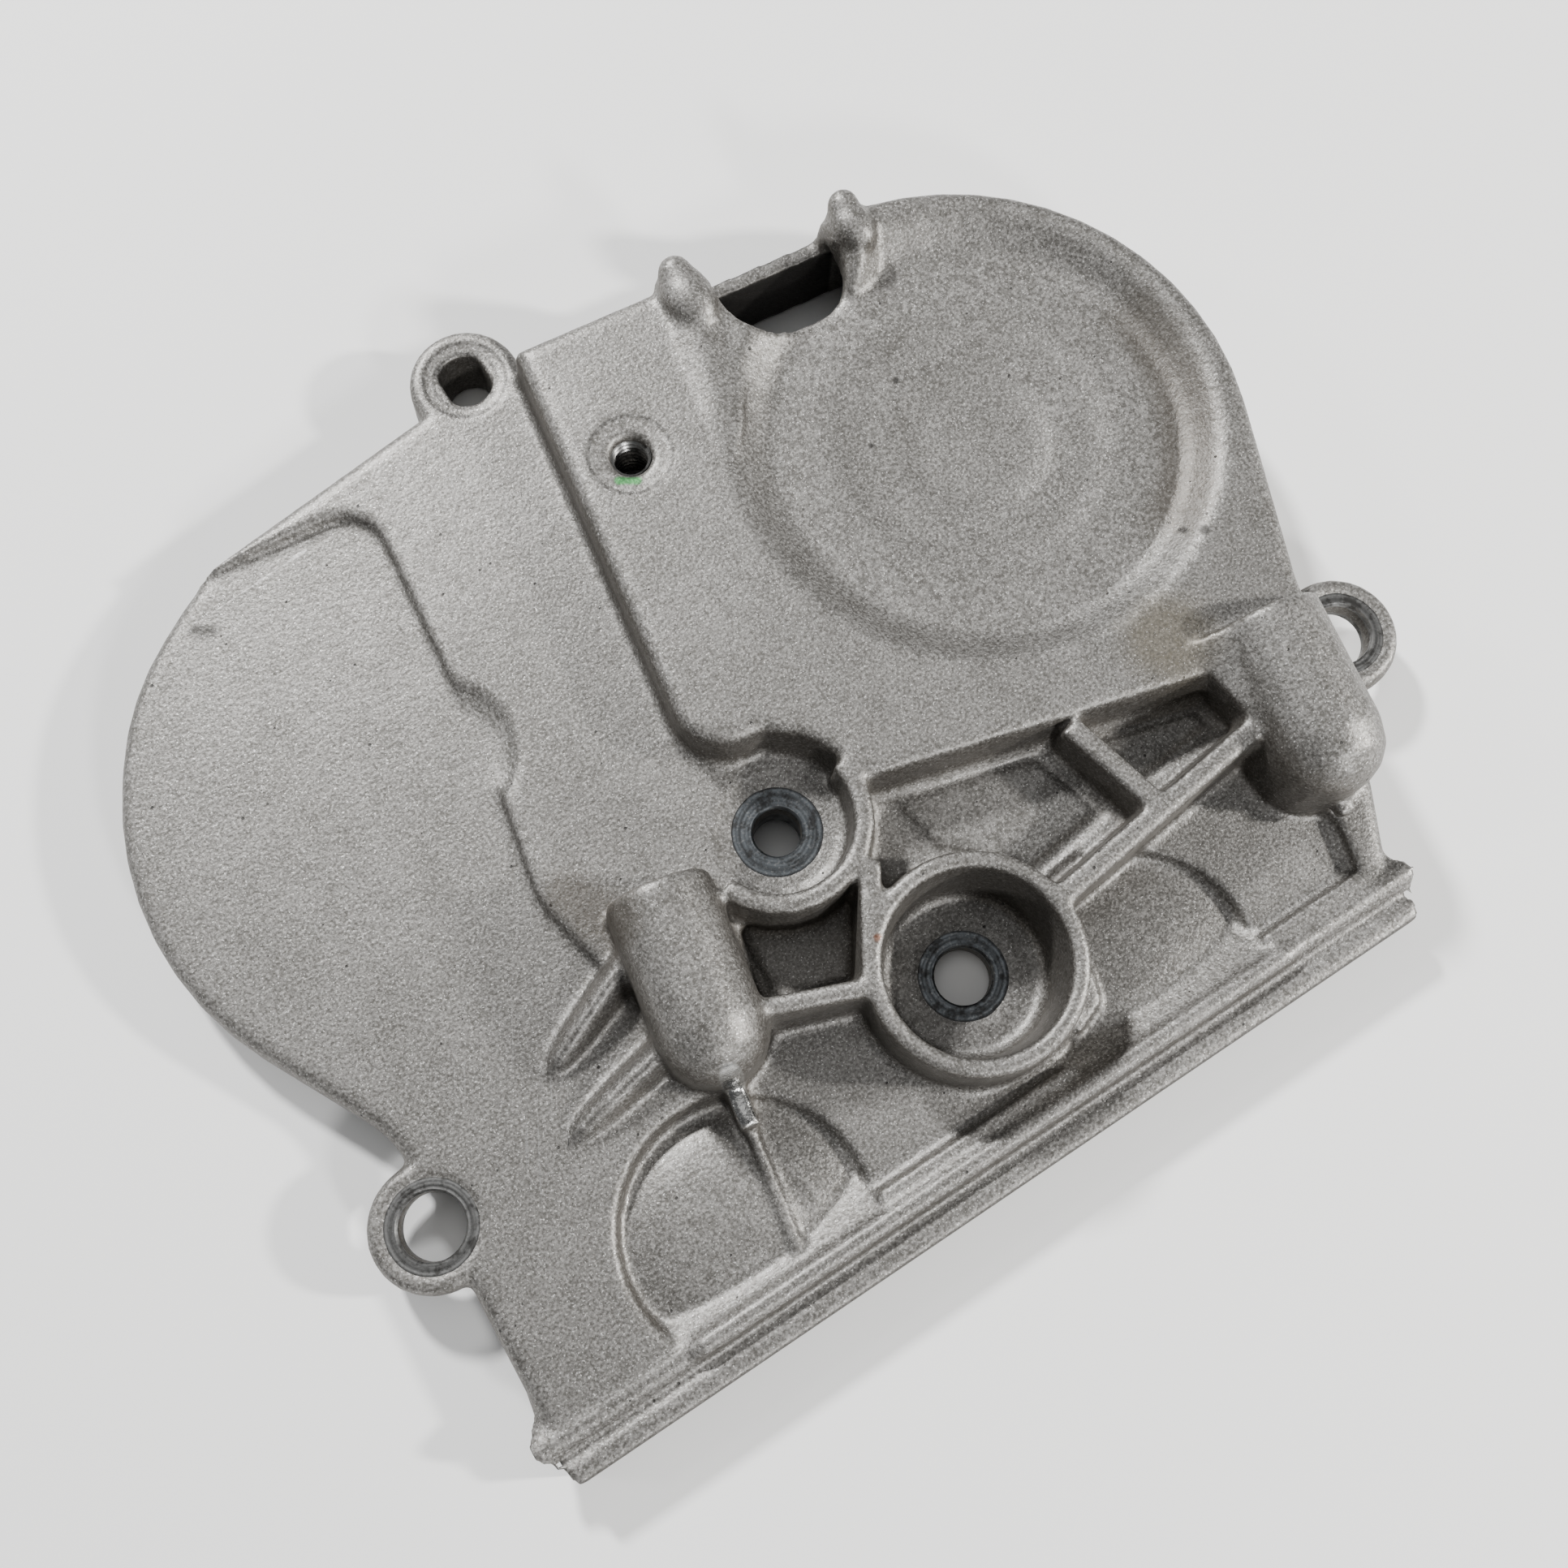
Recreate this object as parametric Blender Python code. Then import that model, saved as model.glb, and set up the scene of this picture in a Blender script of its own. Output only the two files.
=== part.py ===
"""Die-cast timing cover, one aluminium casting, modelled face up on its rear flange.

The sizes below are millimetres in the casting's own plane: X runs along the straight
sealing rail, Y up across the face, Z out of the face, and the rear flange is at Z = 0.
"""

import math

import bmesh
import bpy

MM = 0.001

# How finely curves are divided, in degrees of turn for each segment.
OUTLINE_STEP = 15.0
BORE_STEP = 15.0
WIDE_R = 20.0
RIDGE_PARTS = 8

# A face bent more than this, in radians, is split into flat ones.
FLAT_ANGLE = 0.0005

# Height of each level above the rear flange.
FACE_LEFT_Z = 10.5
FACE_MIDDLE_Z = 12.5
FACE_RIGHT_Z = 22.0
POCKET_FLOOR_Z = 8.0
SMALL_POCKET_FLOOR_Z = 9.0
UPPER_POCKET_FLOOR_Z = 11.4
UPPER_POCKET_PAD_Z = 12.3

# Bodies start below the flange plane, and one cut makes the flange flat at the end.
BELOW = -1.0

# Casting practice.
WALL = 3.3
ROOF = 3.0
DRAFT = math.tan(math.radians(2.5))
EDGE_R = 2.6
STEP_FOOT_R = 2.2
SMALL_EDGE_R = 0.8

# The outline of the walls, as corners with a radius: x, y, radius.
LOBE_SIDE = (-107.0, 109.3, 56.0)
LOBE_SHOULDER = (-84.0, 148.8, 47.5)
LOBE_TOP = (-64.0, 160.9, 25.0)
WAIST_LEFT = (-81.5, 60.0, 20.0)
FOOT_LEFT = (-83.4, 7.0, 0.5)
TOP_LEFT_OF_LUG = (-14.0, 167.4, 5.0)
TOP_RIGHT_OF_LUG = (3.2, 164.6, 3.0)
RIGHT_LOBE = (132.0, 151.4, 51.0)
RIGHT_HIP = (94.2, 56.5, 10.0)
BOSS_SIDE = (89.5, 24.0, 8.0)
FOOT_RIGHT = (80.5, 7.0, 0.5)

# The step from the middle plane up to the right-hand face.
STEP_BOTTOM = (-9.8, 83.6, 9.0)
STEP_INNER = (3.6, 82.6, 1.0)
STEP_WELL = (3.6, 68.9, 1.0)
RIB_ONE_START = (13.6, 66.4, 2.0)
RIB_ONE_END = (80.0, 48.8, 1.0)

# The crease where the left lobe lies lower than the middle plane, and the scoop in it.
CREASE_TIP = (-72.0, 161.6, 0.6)
CREASE_TOP_RIGHT = (-31.9, 157.0, 8.0)
CREASE_NECK = (-35.6, 120.5, 6.0)
CREASE_UNDER_SCOOP = (-38.8, 97.5, 4.0)
CREASE_LOWER = (-42.3, 80.0, 14.0)
CREASE_END = (-38.0, 60.0, 1.0)
SCOOP = (-44.4, 110.3)
SCOOP_R = 13.8

# Ears with bolt holes.
EAR_R = 10.7
EAR_THICKNESS = 5.0
EAR_LEFT = (-82.4, 45.1)
EAR_RIGHT = (99.6, 47.0)
EAR_TOP = (-5.7, 168.6)
EAR_BORE_R = 5.4
EAR_SEAT_R = 8.1
TOP_EAR_BORE_R = 4.8
TOP_EAR_FLAT = 3.9
TOP_EAR_SEAT_R = 7.4
SEAT_DEPTH = 0.5

# Bolt well in the middle.
WELL = (-2.9, 69.3)
WELL_WALL_OUTER_R = 15.6
WELL_WALL_INNER_R = 12.2
WELL_CUT_R = 14.4
WELL_FLOOR_R = 10.7
WELL_SEAT_R = 8.0
WELL_BORE_R = 4.1
WELL_SEAT_Z = 11.6
WELL_COLUMN_R = 8.6

# Deep bolt tube near the rail.
TUBE = (11.2, 33.1)
TUBE_OUTER_R = 18.1
TUBE_INNER_R = 15.2
TUBE_FLOOR_R = 12.4
TUBE_SEAT_R = 8.1
TUBE_BORE_R = 4.9
TUBE_FLOOR_Z = 4.7

# Tapped hole in the right-hand face.
TAPPED = (9.9, 136.2)
TAPPED_BORE_R = 3.4
TAPPED_CHAMFER_R = 4.4
TAPPED_SEAT_R = 7.2
TAPPED_COLUMN_R = 6.6
TAPPED_LENGTH = 14.0

# Round stepped dish in the right-hand face.
DISH = (63.4, 109.4)
DISH_RIM_R = 43.0
DISH_FLOOR_R = 37.2
DISH_FLOOR_Z = 17.2
DISH_SECOND_R = 23.5
DISH_THIRD_R = 13.5
DISH_STEP_DROP = 0.9

# Two domes in round pockets beside the rail.
DOME_R = 20.5
DOME_LEFT = (-40.5, 18.5)
DOME_RIGHT = (36.0, 18.0)
DOME_FOOT_Z = 5.6
DOME_LEFT_TOP_Z = 9.2
DOME_RIGHT_TOP_Z = 8.1

# Two bullet-shaped screw bosses, leaning a little from the rail's normal.
BOSS_LEAN = math.radians(10.0)
BOSS_LEFT_END = (-25.4, 70.4)
BOSS_RIGHT_END = (84.6, 55.6)
BOSS_LEFT_R = 8.9
BOSS_RIGHT_R = 9.7
BOSS_LENGTH = 33.0
BOSS_AXIS_Z = 20.0
BOSS_BORE_R = 3.4
BOSS_BORE_DEPTH = 20.0

# Ribs.
RIB_WIDTH = 3.7
RIB_THIN = 3.0

# Finger-shaped fins beside the left boss: root and tip.
FIN_UPPER_ROOT = (-31.0, 65.6)
FIN_UPPER_TIP = (-54.8, 55.5)
FIN_LOWER_ROOT = (-31.0, 50.0)
FIN_LOWER_TIP = (-57.2, 44.7)
FIN_HALF = 3.1
FIN_TOP_Z = 17.2
FIN_SHAPE = ((0.0, 1.2, 1.0), (0.35, 1.05, 0.92), (0.7, 0.95, 0.66), (0.9, 0.75, 0.42), (1.0, 0.4, 0.12))

# Horns each side of the opening: crest of the tip, x, y and z, and half the width.
HORN_LEFT = (34.1, 162.2, 26.4)
HORN_RIGHT = (66.9, 158.2, 25.8)
HORN_LEFT_HALF = 4.6
HORN_RIGHT_HALF = 3.9

# Opening in the top wall.
WINDOW_LEFT = 38.4
WINDOW_RIGHT = 62.2
WINDOW_BOTTOM = 143.4
WINDOW_CORNER_R = 9.0
WINDOW_SILL_Z = 15.0
WINDOW_TOP = 172.0
WINDOW_INNER_TOP = 156.2

# Sealing rail along the straight edge.
RAIL_LIP_DEPTH = 3.6
RAIL_LIP_Z = 9.4
RAIL_CHANNEL_Z = 8.5
RAIL_HUMP_Z = 10.9
RAIL_HUMP_Y = 7.3
RAIL_BACK_Y = 12.4
RAIL_FOOT_Y = 15.6
RAIL_LEFT = -82.4
RAIL_RIGHT = 80.7
RAIL_FLARE = 0.55
BEAD_LEFT = -56.6
BEAD_RIGHT = 57.7
BEAD_R = 1.9
BEAD_Z = 12.2

# Trim left on the casting under the bosses.
TAB_WIDTH = 3.2
TAB_LENGTH = 8.0
TAB_Z = 12.6
NUB_LENGTH = 2.6
NUB_Z = 16.5
SEAM_WIDTH = 1.7
SEAM_Z = 9.9


def clear_scene():
    """Remove everything the file starts with."""
    for item in list(bpy.data.objects):
        bpy.data.objects.remove(item, do_unlink=True)
    for mesh in list(bpy.data.meshes):
        bpy.data.meshes.remove(mesh)


def mesh_object(name, points, faces):
    """Make an object from points in millimetres, with its faces turned outwards."""
    mesh = bpy.data.meshes.new(name)
    mesh.from_pydata([(x * MM, y * MM, z * MM) for x, y, z in points], [], faces)
    shell = bmesh.new()
    shell.from_mesh(mesh)
    bmesh.ops.recalc_face_normals(shell, faces=shell.faces)
    bmesh.ops.connect_verts_nonplanar(shell, angle_limit=FLAT_ANGLE, faces=shell.faces)
    shell.to_mesh(mesh)
    shell.free()
    item = bpy.data.objects.new(name, mesh)
    bpy.context.scene.collection.objects.link(item)
    return item


def loft(name, loops):
    """Join loops of equal length into a closed body with a cap at each end."""
    size = len(loops[0])
    points = [point for loop in loops for point in loop]
    faces = [tuple(range(size))]
    for row in range(len(loops) - 1):
        low = row * size
        for i in range(size):
            j = (i + 1) % size
            faces.append((low + i, low + j, low + size + j, low + size + i))
    last = (len(loops) - 1) * size
    faces.append(tuple(last + i for i in range(size)))
    return mesh_object(name, points, faces)


def combine(body, others, operation):
    """Union or cut the other bodies with this one, in order, and remove them."""
    for other in others:
        step = body.modifiers.new("join", "BOOLEAN")
        step.operation = operation
        step.solver = "EXACT"
        step.object = other
        bpy.context.view_layer.update()
        graph = bpy.context.evaluated_depsgraph_get()
        made = bpy.data.meshes.new_from_object(body.evaluated_get(graph))
        body.modifiers.remove(step)
        body.data = made
        bpy.data.objects.remove(other, do_unlink=True)
    return body


def unit(x, y):
    """The vector made one long."""
    size = math.hypot(x, y)
    return x / size, y / size


def inset(corners, distance):
    """Move each side of an outline inwards and change its radii to match."""
    turned = []
    count = len(corners)
    area = sum(
        corners[i][0] * corners[(i + 1) % count][1] - corners[(i + 1) % count][0] * corners[i][1]
        for i in range(count)
    )
    side = 1.0 if area > 0 else -1.0
    for i in range(count):
        x, y, radius = corners[i]
        before = corners[i - 1]
        after = corners[(i + 1) % count]
        ax, ay = unit(x - before[0], y - before[1])
        bx, by = unit(after[0] - x, after[1] - y)
        nx, ny = unit(-(ay + by) * side, (ax + bx) * side)
        share = -ay * side * nx + ax * side * ny
        bend = (ax * by - ay * bx) * side
        reach = distance / max(share, 0.3)
        turned.append((x + nx * reach, y + ny * reach, max(radius - math.copysign(distance, bend), 0.05)))
    return turned


def outline(corners, reference=None):
    """Points round an outline, each corner turned into an arc."""
    points = []
    count = len(corners)
    reference = reference or corners
    for i in range(count):
        x, y, radius = corners[i]
        before = corners[i - 1]
        after = corners[(i + 1) % count]
        ax, ay = unit(before[0] - x, before[1] - y)
        bx, by = unit(after[0] - x, after[1] - y)
        opening = math.acos(max(-1.0, min(1.0, ax * bx + ay * by)))
        turn = math.pi - opening
        reach = radius / math.tan(opening / 2)
        step = OUTLINE_STEP if reference[i][2] < WIDE_R else OUTLINE_STEP / 2
        parts = max(1, round(math.degrees(turn) / step)) if reference[i][2] > 0.3 else 0
        if parts == 0:
            points.append((x, y))
            continue
        mx, my = unit(ax + bx, ay + by)
        far = radius / math.sin(opening / 2)
        cx, cy = x + mx * far, y + my * far
        start = math.atan2(y + ay * reach - cy, x + ax * reach - cx)
        end = math.atan2(y + by * reach - cy, x + bx * reach - cx)
        sweep = (end - start + math.pi) % (2 * math.pi) - math.pi
        for k in range(parts + 1):
            angle = start + sweep * k / parts
            points.append((cx + radius * math.cos(angle), cy + radius * math.sin(angle)))
    return points


def pad(name, corners, levels):
    """A body through insets of one outline: each level is an inset and a height."""
    loops = []
    for distance, height in levels:
        flat = outline(inset(corners, distance), corners)
        loops.append([(x, y, height) for x, y in flat])
    return loft(name, loops)


def drafted(low, high, radius, foot=0.0, base=None):
    """Levels of a drafted pad with a rounded top edge and, if asked, a rounded foot."""
    start = base + foot if foot else low
    levels = [(-foot, low)]
    if foot:
        for part in (0.0, 0.5, 1.0):
            angle = part * math.pi / 2
            levels.append((foot * (math.sin(angle) - 1.0), start - foot * math.cos(angle)))
    lean = (high - radius - start) * DRAFT
    levels.append((lean, high - radius))
    for part in (0.4, 0.75, 1.0):
        angle = part * math.pi / 2
        levels.append((lean + radius * (1 - math.cos(angle)), high - radius + radius * math.sin(angle)))
    return levels


def fence(name, high, margin):
    """The space inside the outer walls, rounded at a height and a little proud of the base wall."""
    lean = (high - EDGE_R) * DRAFT - margin
    levels = [(-margin - DRAFT, BELOW - 4.0), (lean, high - EDGE_R)]
    for part in (0.4, 0.75, 1.0):
        angle = part * math.pi / 2
        levels.append((lean + EDGE_R * (1 - math.cos(angle)), high - EDGE_R + EDGE_R * math.sin(angle)))
    levels.append((lean + EDGE_R + 2.5, high + 2.0))
    return pad(name, walls_outline(), levels)


def hollow(floor, top, radius):
    """Levels of a cutter that leaves a drafted pocket with a rounded floor edge."""
    lean = (top - floor) * DRAFT
    levels = [(lean + radius, floor), (lean + radius * 0.3, floor + radius * 0.3), (lean, floor + radius)]
    return levels + [(0.0, top)]


def spin(name, centre, profile, step=BORE_STEP):
    """Turn a profile of radius and height about an upright line."""
    count = max(8, round(360.0 / step))
    loops = []
    for radius, height in profile:
        loop = []
        for i in range(count):
            angle = 2 * math.pi * i / count
            x = centre[0] + radius * math.cos(angle)
            y = centre[1] + radius * math.sin(angle)
            loop.append((x, y, height))
        loops.append(loop)
    return loft(name, loops)


def bar(name, start, end, width, levels):
    """A drafted bar with square ends between two points."""
    dx, dy = unit(end[0] - start[0], end[1] - start[1])
    half = width / 2
    corners = [
        (start[0] - dy * half, start[1] + dx * half, 0.0),
        (start[0] + dy * half, start[1] - dx * half, 0.0),
        (end[0] + dy * half, end[1] - dx * half, 0.0),
        (end[0] - dy * half, end[1] + dx * half, 0.0),
    ]
    return pad(name, corners, levels)


def ridge(name, path, low, power):
    """A ridge through sections of x, y, half width, foot height and crest height."""
    loops = []
    count = len(path)
    for i in range(count):
        x, y, half, foot, crest = path[i]
        before = path[max(i - 1, 0)]
        after = path[min(i + 1, count - 1)]
        dx, dy = unit(after[0] - before[0], after[1] - before[1])
        loop = [(x - dy * half, y + dx * half, low)]
        for k in range(RIDGE_PARTS + 1):
            share = 1.0 - 2.0 * k / RIDGE_PARTS
            rise = max(0.0, math.cos(share * math.pi / 2)) ** power
            reach = half * share
            loop.append((x - dy * reach, y + dx * reach, foot + (crest - foot) * rise))
        loop.append((x + dy * half, y - dx * half, low))
        loops.append(loop)
    return loft(name, loops)


def along_boss(end, distance, aside=0.0):
    """A point below a boss's flat end, measured down its leaning axis and across it."""
    return (
        end[0] - math.sin(BOSS_LEAN) * distance + math.cos(BOSS_LEAN) * aside,
        end[1] - math.cos(BOSS_LEAN) * distance - math.sin(BOSS_LEAN) * aside,
    )


def boss(name, end, radius, low):
    """A half-round boss on straight flanks, flat at one end and round at the other."""
    sections = [(0.0, 0.92), (0.7, 1.0), (BOSS_LENGTH - radius, 1.0)]
    for part in (0.3, 0.55, 0.78, 0.95):
        angle = part * math.pi / 2
        sections.append((BOSS_LENGTH - radius + radius * math.sin(angle), math.cos(angle)))
    loops = []
    for distance, share in sections:
        across = radius * share
        loop = []
        flank = (BOSS_AXIS_Z - low) * DRAFT
        for side, height in ((-1.0, low), (-1.0, BOSS_AXIS_Z)):
            lean = flank if height == low else 0.0
            x, y = along_boss(end, distance, side * (across + lean))
            loop.append((x, y, height))
        for k in range(1, 10):
            angle = math.pi - math.pi * k / 10
            x, y = along_boss(end, distance, across * math.cos(angle))
            loop.append((x, y, BOSS_AXIS_Z + across * math.sin(angle)))
        for side, height in ((1.0, BOSS_AXIS_Z), (1.0, low)):
            lean = flank if height == low else 0.0
            x, y = along_boss(end, distance, side * (across + lean))
            loop.append((x, y, height))
        loops.append(loop)
    return loft(name, loops)


def boss_bore(name, end):
    """A blind screw hole in a boss's flat end, with a small lead-in."""
    count = 16
    loops = []
    for distance, radius in ((-2.0, BOSS_BORE_R + 2.8), (0.8, BOSS_BORE_R), (BOSS_BORE_DEPTH, BOSS_BORE_R)):
        loop = []
        for i in range(count):
            angle = 2 * math.pi * i / count
            x, y = along_boss(end, distance, radius * math.cos(angle))
            loop.append((x, y, BOSS_AXIS_Z + radius * math.sin(angle)))
        loops.append(loop)
    return loft(name, loops)


def arc_wall(name, centre, inner, outer, first, last, low, high):
    """Part of a round wall, from one angle to another in degrees."""
    parts = max(4, round(abs(last - first) / BORE_STEP))
    angles = [math.radians(first + (last - first) * k / parts) for k in range(parts + 1)]
    loops = []
    lean = (high - low) * DRAFT
    for height, grow in ((low, lean), (high - SMALL_EDGE_R, 0.0), (high, -SMALL_EDGE_R * 0.7)):
        loop = []
        for angle in angles:
            reach = outer + grow
            loop.append((centre[0] + reach * math.cos(angle), centre[1] + reach * math.sin(angle), height))
        for angle in reversed(angles):
            reach = inner - grow
            loop.append((centre[0] + reach * math.cos(angle), centre[1] + reach * math.sin(angle), height))
        loops.append(loop)
    return loft(name, loops)


def rail_end(depth):
    """How far the rail's end stands out beyond its lip, at this depth from the edge."""
    if depth < RAIL_HUMP_Y:
        return RAIL_FLARE * depth
    return max(0.8, RAIL_FLARE * RAIL_HUMP_Y - 0.9 * max(0.0, depth - RAIL_HUMP_Y - 2.2))


def rail():
    """The straight sealing rail, one profile drawn along X with flared ends."""
    hump = RAIL_HUMP_Y
    profile = [
        (0.0, BELOW - 0.4),
        (0.0, RAIL_LIP_Z - 0.6),
        (0.6, RAIL_LIP_Z),
        (RAIL_LIP_DEPTH - 0.4, RAIL_LIP_Z),
        (RAIL_LIP_DEPTH + 0.3, RAIL_CHANNEL_Z + 0.2),
        (RAIL_LIP_DEPTH + 1.0, RAIL_CHANNEL_Z),
        (hump - 1.9, RAIL_CHANNEL_Z + 0.9),
        (hump - 1.1, RAIL_HUMP_Z - 0.4),
        (hump, RAIL_HUMP_Z),
        (hump + 1.4, RAIL_HUMP_Z - 0.3),
        (hump + 2.9, RAIL_HUMP_Z - 1.2),
        (RAIL_BACK_Y, POCKET_FLOOR_Z),
        (RAIL_FOOT_Y, DOME_FOOT_Z + 0.3),
        (RAIL_FOOT_Y, BELOW - 0.4),
    ]
    left = [(RAIL_LEFT - rail_end(y), y, z) for y, z in profile]
    right = [(RAIL_RIGHT + rail_end(y), y, z) for y, z in profile]
    return loft("rail", [left, right])


def bead():
    """The raised bead on the rail's hump, with sloping ends."""
    count = 8
    loops = []
    centre_z = BEAD_Z - BEAD_R
    for x, share in (
        (BEAD_LEFT - 3.5, 0.3),
        (BEAD_LEFT - 1.5, 0.8),
        (BEAD_LEFT + 0.5, 1.0),
        (BEAD_RIGHT - 0.5, 1.0),
        (BEAD_RIGHT + 1.5, 0.8),
        (BEAD_RIGHT + 3.5, 0.3),
    ):
        loop = []
        for i in range(count):
            angle = 2 * math.pi * (i + 0.5) / count
            drop = (1.0 - share) * BEAD_R
            loop.append(
                (
                    x,
                    RAIL_HUMP_Y + BEAD_R * share * math.cos(angle),
                    centre_z - drop + BEAD_R * share * math.sin(angle),
                )
            )
        loops.append(loop)
    return loft("bead", loops)


def slope_down(item, start, end, level, drop):
    """Lower the part of a body that is above a level, more and more towards one end."""
    span = math.hypot(end[0] - start[0], end[1] - start[1])
    dx, dy = unit(end[0] - start[0], end[1] - start[1])
    for vertex in item.data.vertices:
        if vertex.co.z > level * MM:
            reach = ((vertex.co.x / MM - start[0]) * dx + (vertex.co.y / MM - start[1]) * dy) / span
            vertex.co.z -= drop * max(0.0, min(1.0, reach)) * MM
    return item


def walls_outline():
    """The outline that all the outer walls follow."""
    return [
        FOOT_LEFT,
        FOOT_RIGHT,
        BOSS_SIDE,
        RIGHT_HIP,
        RIGHT_LOBE,
        TOP_RIGHT_OF_LUG,
        TOP_LEFT_OF_LUG,
        LOBE_TOP,
        LOBE_SHOULDER,
        LOBE_SIDE,
        WAIST_LEFT,
    ]


def right_outline(over=0.0):
    """The high right-hand face, run over the outer walls by a margin."""
    return [
        RIB_ONE_START,
        RIB_ONE_END,
        (RIGHT_HIP[0] + 1.2 * over, RIGHT_HIP[1] - over, RIGHT_HIP[2]),
        (RIGHT_LOBE[0] + 1.6 * over, RIGHT_LOBE[1] + over, RIGHT_LOBE[2] + over),
        (TOP_RIGHT_OF_LUG[0], TOP_RIGHT_OF_LUG[1] + over, TOP_RIGHT_OF_LUG[2]),
        STEP_BOTTOM,
        STEP_INNER,
        STEP_WELL,
    ]


def middle_outline():
    """The middle plane, with the crease as its left side. Its top runs past the outer wall."""
    return [
        CREASE_END,
        (WELL[0] - 4.0, WELL[1] - 14.0, 1.0),
        (TUBE[0] - 6.0, TUBE[1] + 6.0, 1.0),
        (TUBE[0] + 20.0, TUBE[1] + 2.6, 1.0),
        (BOSS_RIGHT_END[0] - 12.0, BOSS_RIGHT_END[1] - 14.0, 1.0),
        (RIGHT_HIP[0] - 8.0, RIGHT_HIP[1] + 2.0, 2.0),
        (RIGHT_HIP[0] - 8.0, TOP_RIGHT_OF_LUG[1] - 20.0, 2.0),
        (TOP_RIGHT_OF_LUG[0] + 6.0, TOP_RIGHT_OF_LUG[1] + 14.0, 2.0),
        (LOBE_TOP[0] - 4.0, LOBE_TOP[1] + 14.0, 2.0),
        CREASE_TIP,
        CREASE_TOP_RIGHT,
        CREASE_NECK,
        CREASE_UNDER_SCOOP,
        CREASE_LOWER,
    ]


def window_outline(grow, top):
    """The U-shaped opening, grown outwards by a margin."""
    return [
        (WINDOW_LEFT - grow + 1.2, WINDOW_BOTTOM - grow + 0.6, WINDOW_CORNER_R + grow),
        (WINDOW_RIGHT + grow - 1.2, WINDOW_BOTTOM - grow - 0.9, WINDOW_CORNER_R + grow),
        (WINDOW_RIGHT + grow, top - 4.2, 0.0),
        (WINDOW_LEFT - grow, top, 0.0),
    ]


def outer_body():
    """Faces, steps, ribs, bosses, ears and rail, before anything is hollowed."""
    walls = walls_outline()
    body = pad("timing_cover", walls, drafted(BELOW, FACE_LEFT_Z, EDGE_R))
    middle_levels = drafted(BELOW, FACE_MIDDLE_Z, 0.9, 0.9, FACE_LEFT_Z - 0.6)
    middle = pad("middle", middle_outline(), middle_levels)
    combine(middle, [fence("middle_fence", FACE_MIDDLE_Z, 0.06)], "INTERSECT")
    scoop = spin(
        "scoop",
        SCOOP,
        [
            (SCOOP_R * 0.5, FACE_LEFT_Z - 0.4),
            (SCOOP_R * 0.75, FACE_LEFT_Z + 0.1),
            (SCOOP_R * 0.9, FACE_LEFT_Z + 0.8),
            (SCOOP_R, FACE_MIDDLE_Z - 0.2),
            (SCOOP_R + 0.7, FACE_MIDDLE_Z + 0.3),
            (SCOOP_R + 0.7, FACE_MIDDLE_Z + 2.0),
        ],
    )
    combine(middle, [scoop], "DIFFERENCE")
    right_levels = drafted(BELOW - 0.5, FACE_RIGHT_Z, EDGE_R, STEP_FOOT_R, FACE_MIDDLE_Z - 0.3)
    right = pad("right", right_outline(3.0), right_levels)
    combine(right, [fence("right_fence", FACE_RIGHT_Z, 0.14)], "INTERSECT")
    well_cut = spin(
        "well_cut",
        WELL,
        [
            (WELL_CUT_R - 2.2, FACE_MIDDLE_Z - 0.4),
            (WELL_CUT_R - 1.2, FACE_MIDDLE_Z + 0.6),
            (WELL_CUT_R - 0.7, FACE_MIDDLE_Z + 2.0),
            (WELL_CUT_R, FACE_RIGHT_Z - 1.5),
            (WELL_CUT_R + 0.5, FACE_RIGHT_Z - 0.5),
            (WELL_CUT_R + 1.6, FACE_RIGHT_Z + 0.3),
            (WELL_CUT_R + 1.6, FACE_RIGHT_Z + 3.0),
        ],
    )
    combine(right, [well_cut], "DIFFERENCE")
    return combine(body, [middle, right], "UNION")


def keep_well(cut):
    """Take the round of the bolt well out of a cutter."""
    guard = spin(
        "well_guard",
        WELL,
        [(WELL_WALL_OUTER_R - 1.2, BELOW - 2.0), (WELL_WALL_OUTER_R - 1.2, FACE_RIGHT_Z + 9.0)],
    )
    return combine(cut, [guard], "DIFFERENCE")


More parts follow.
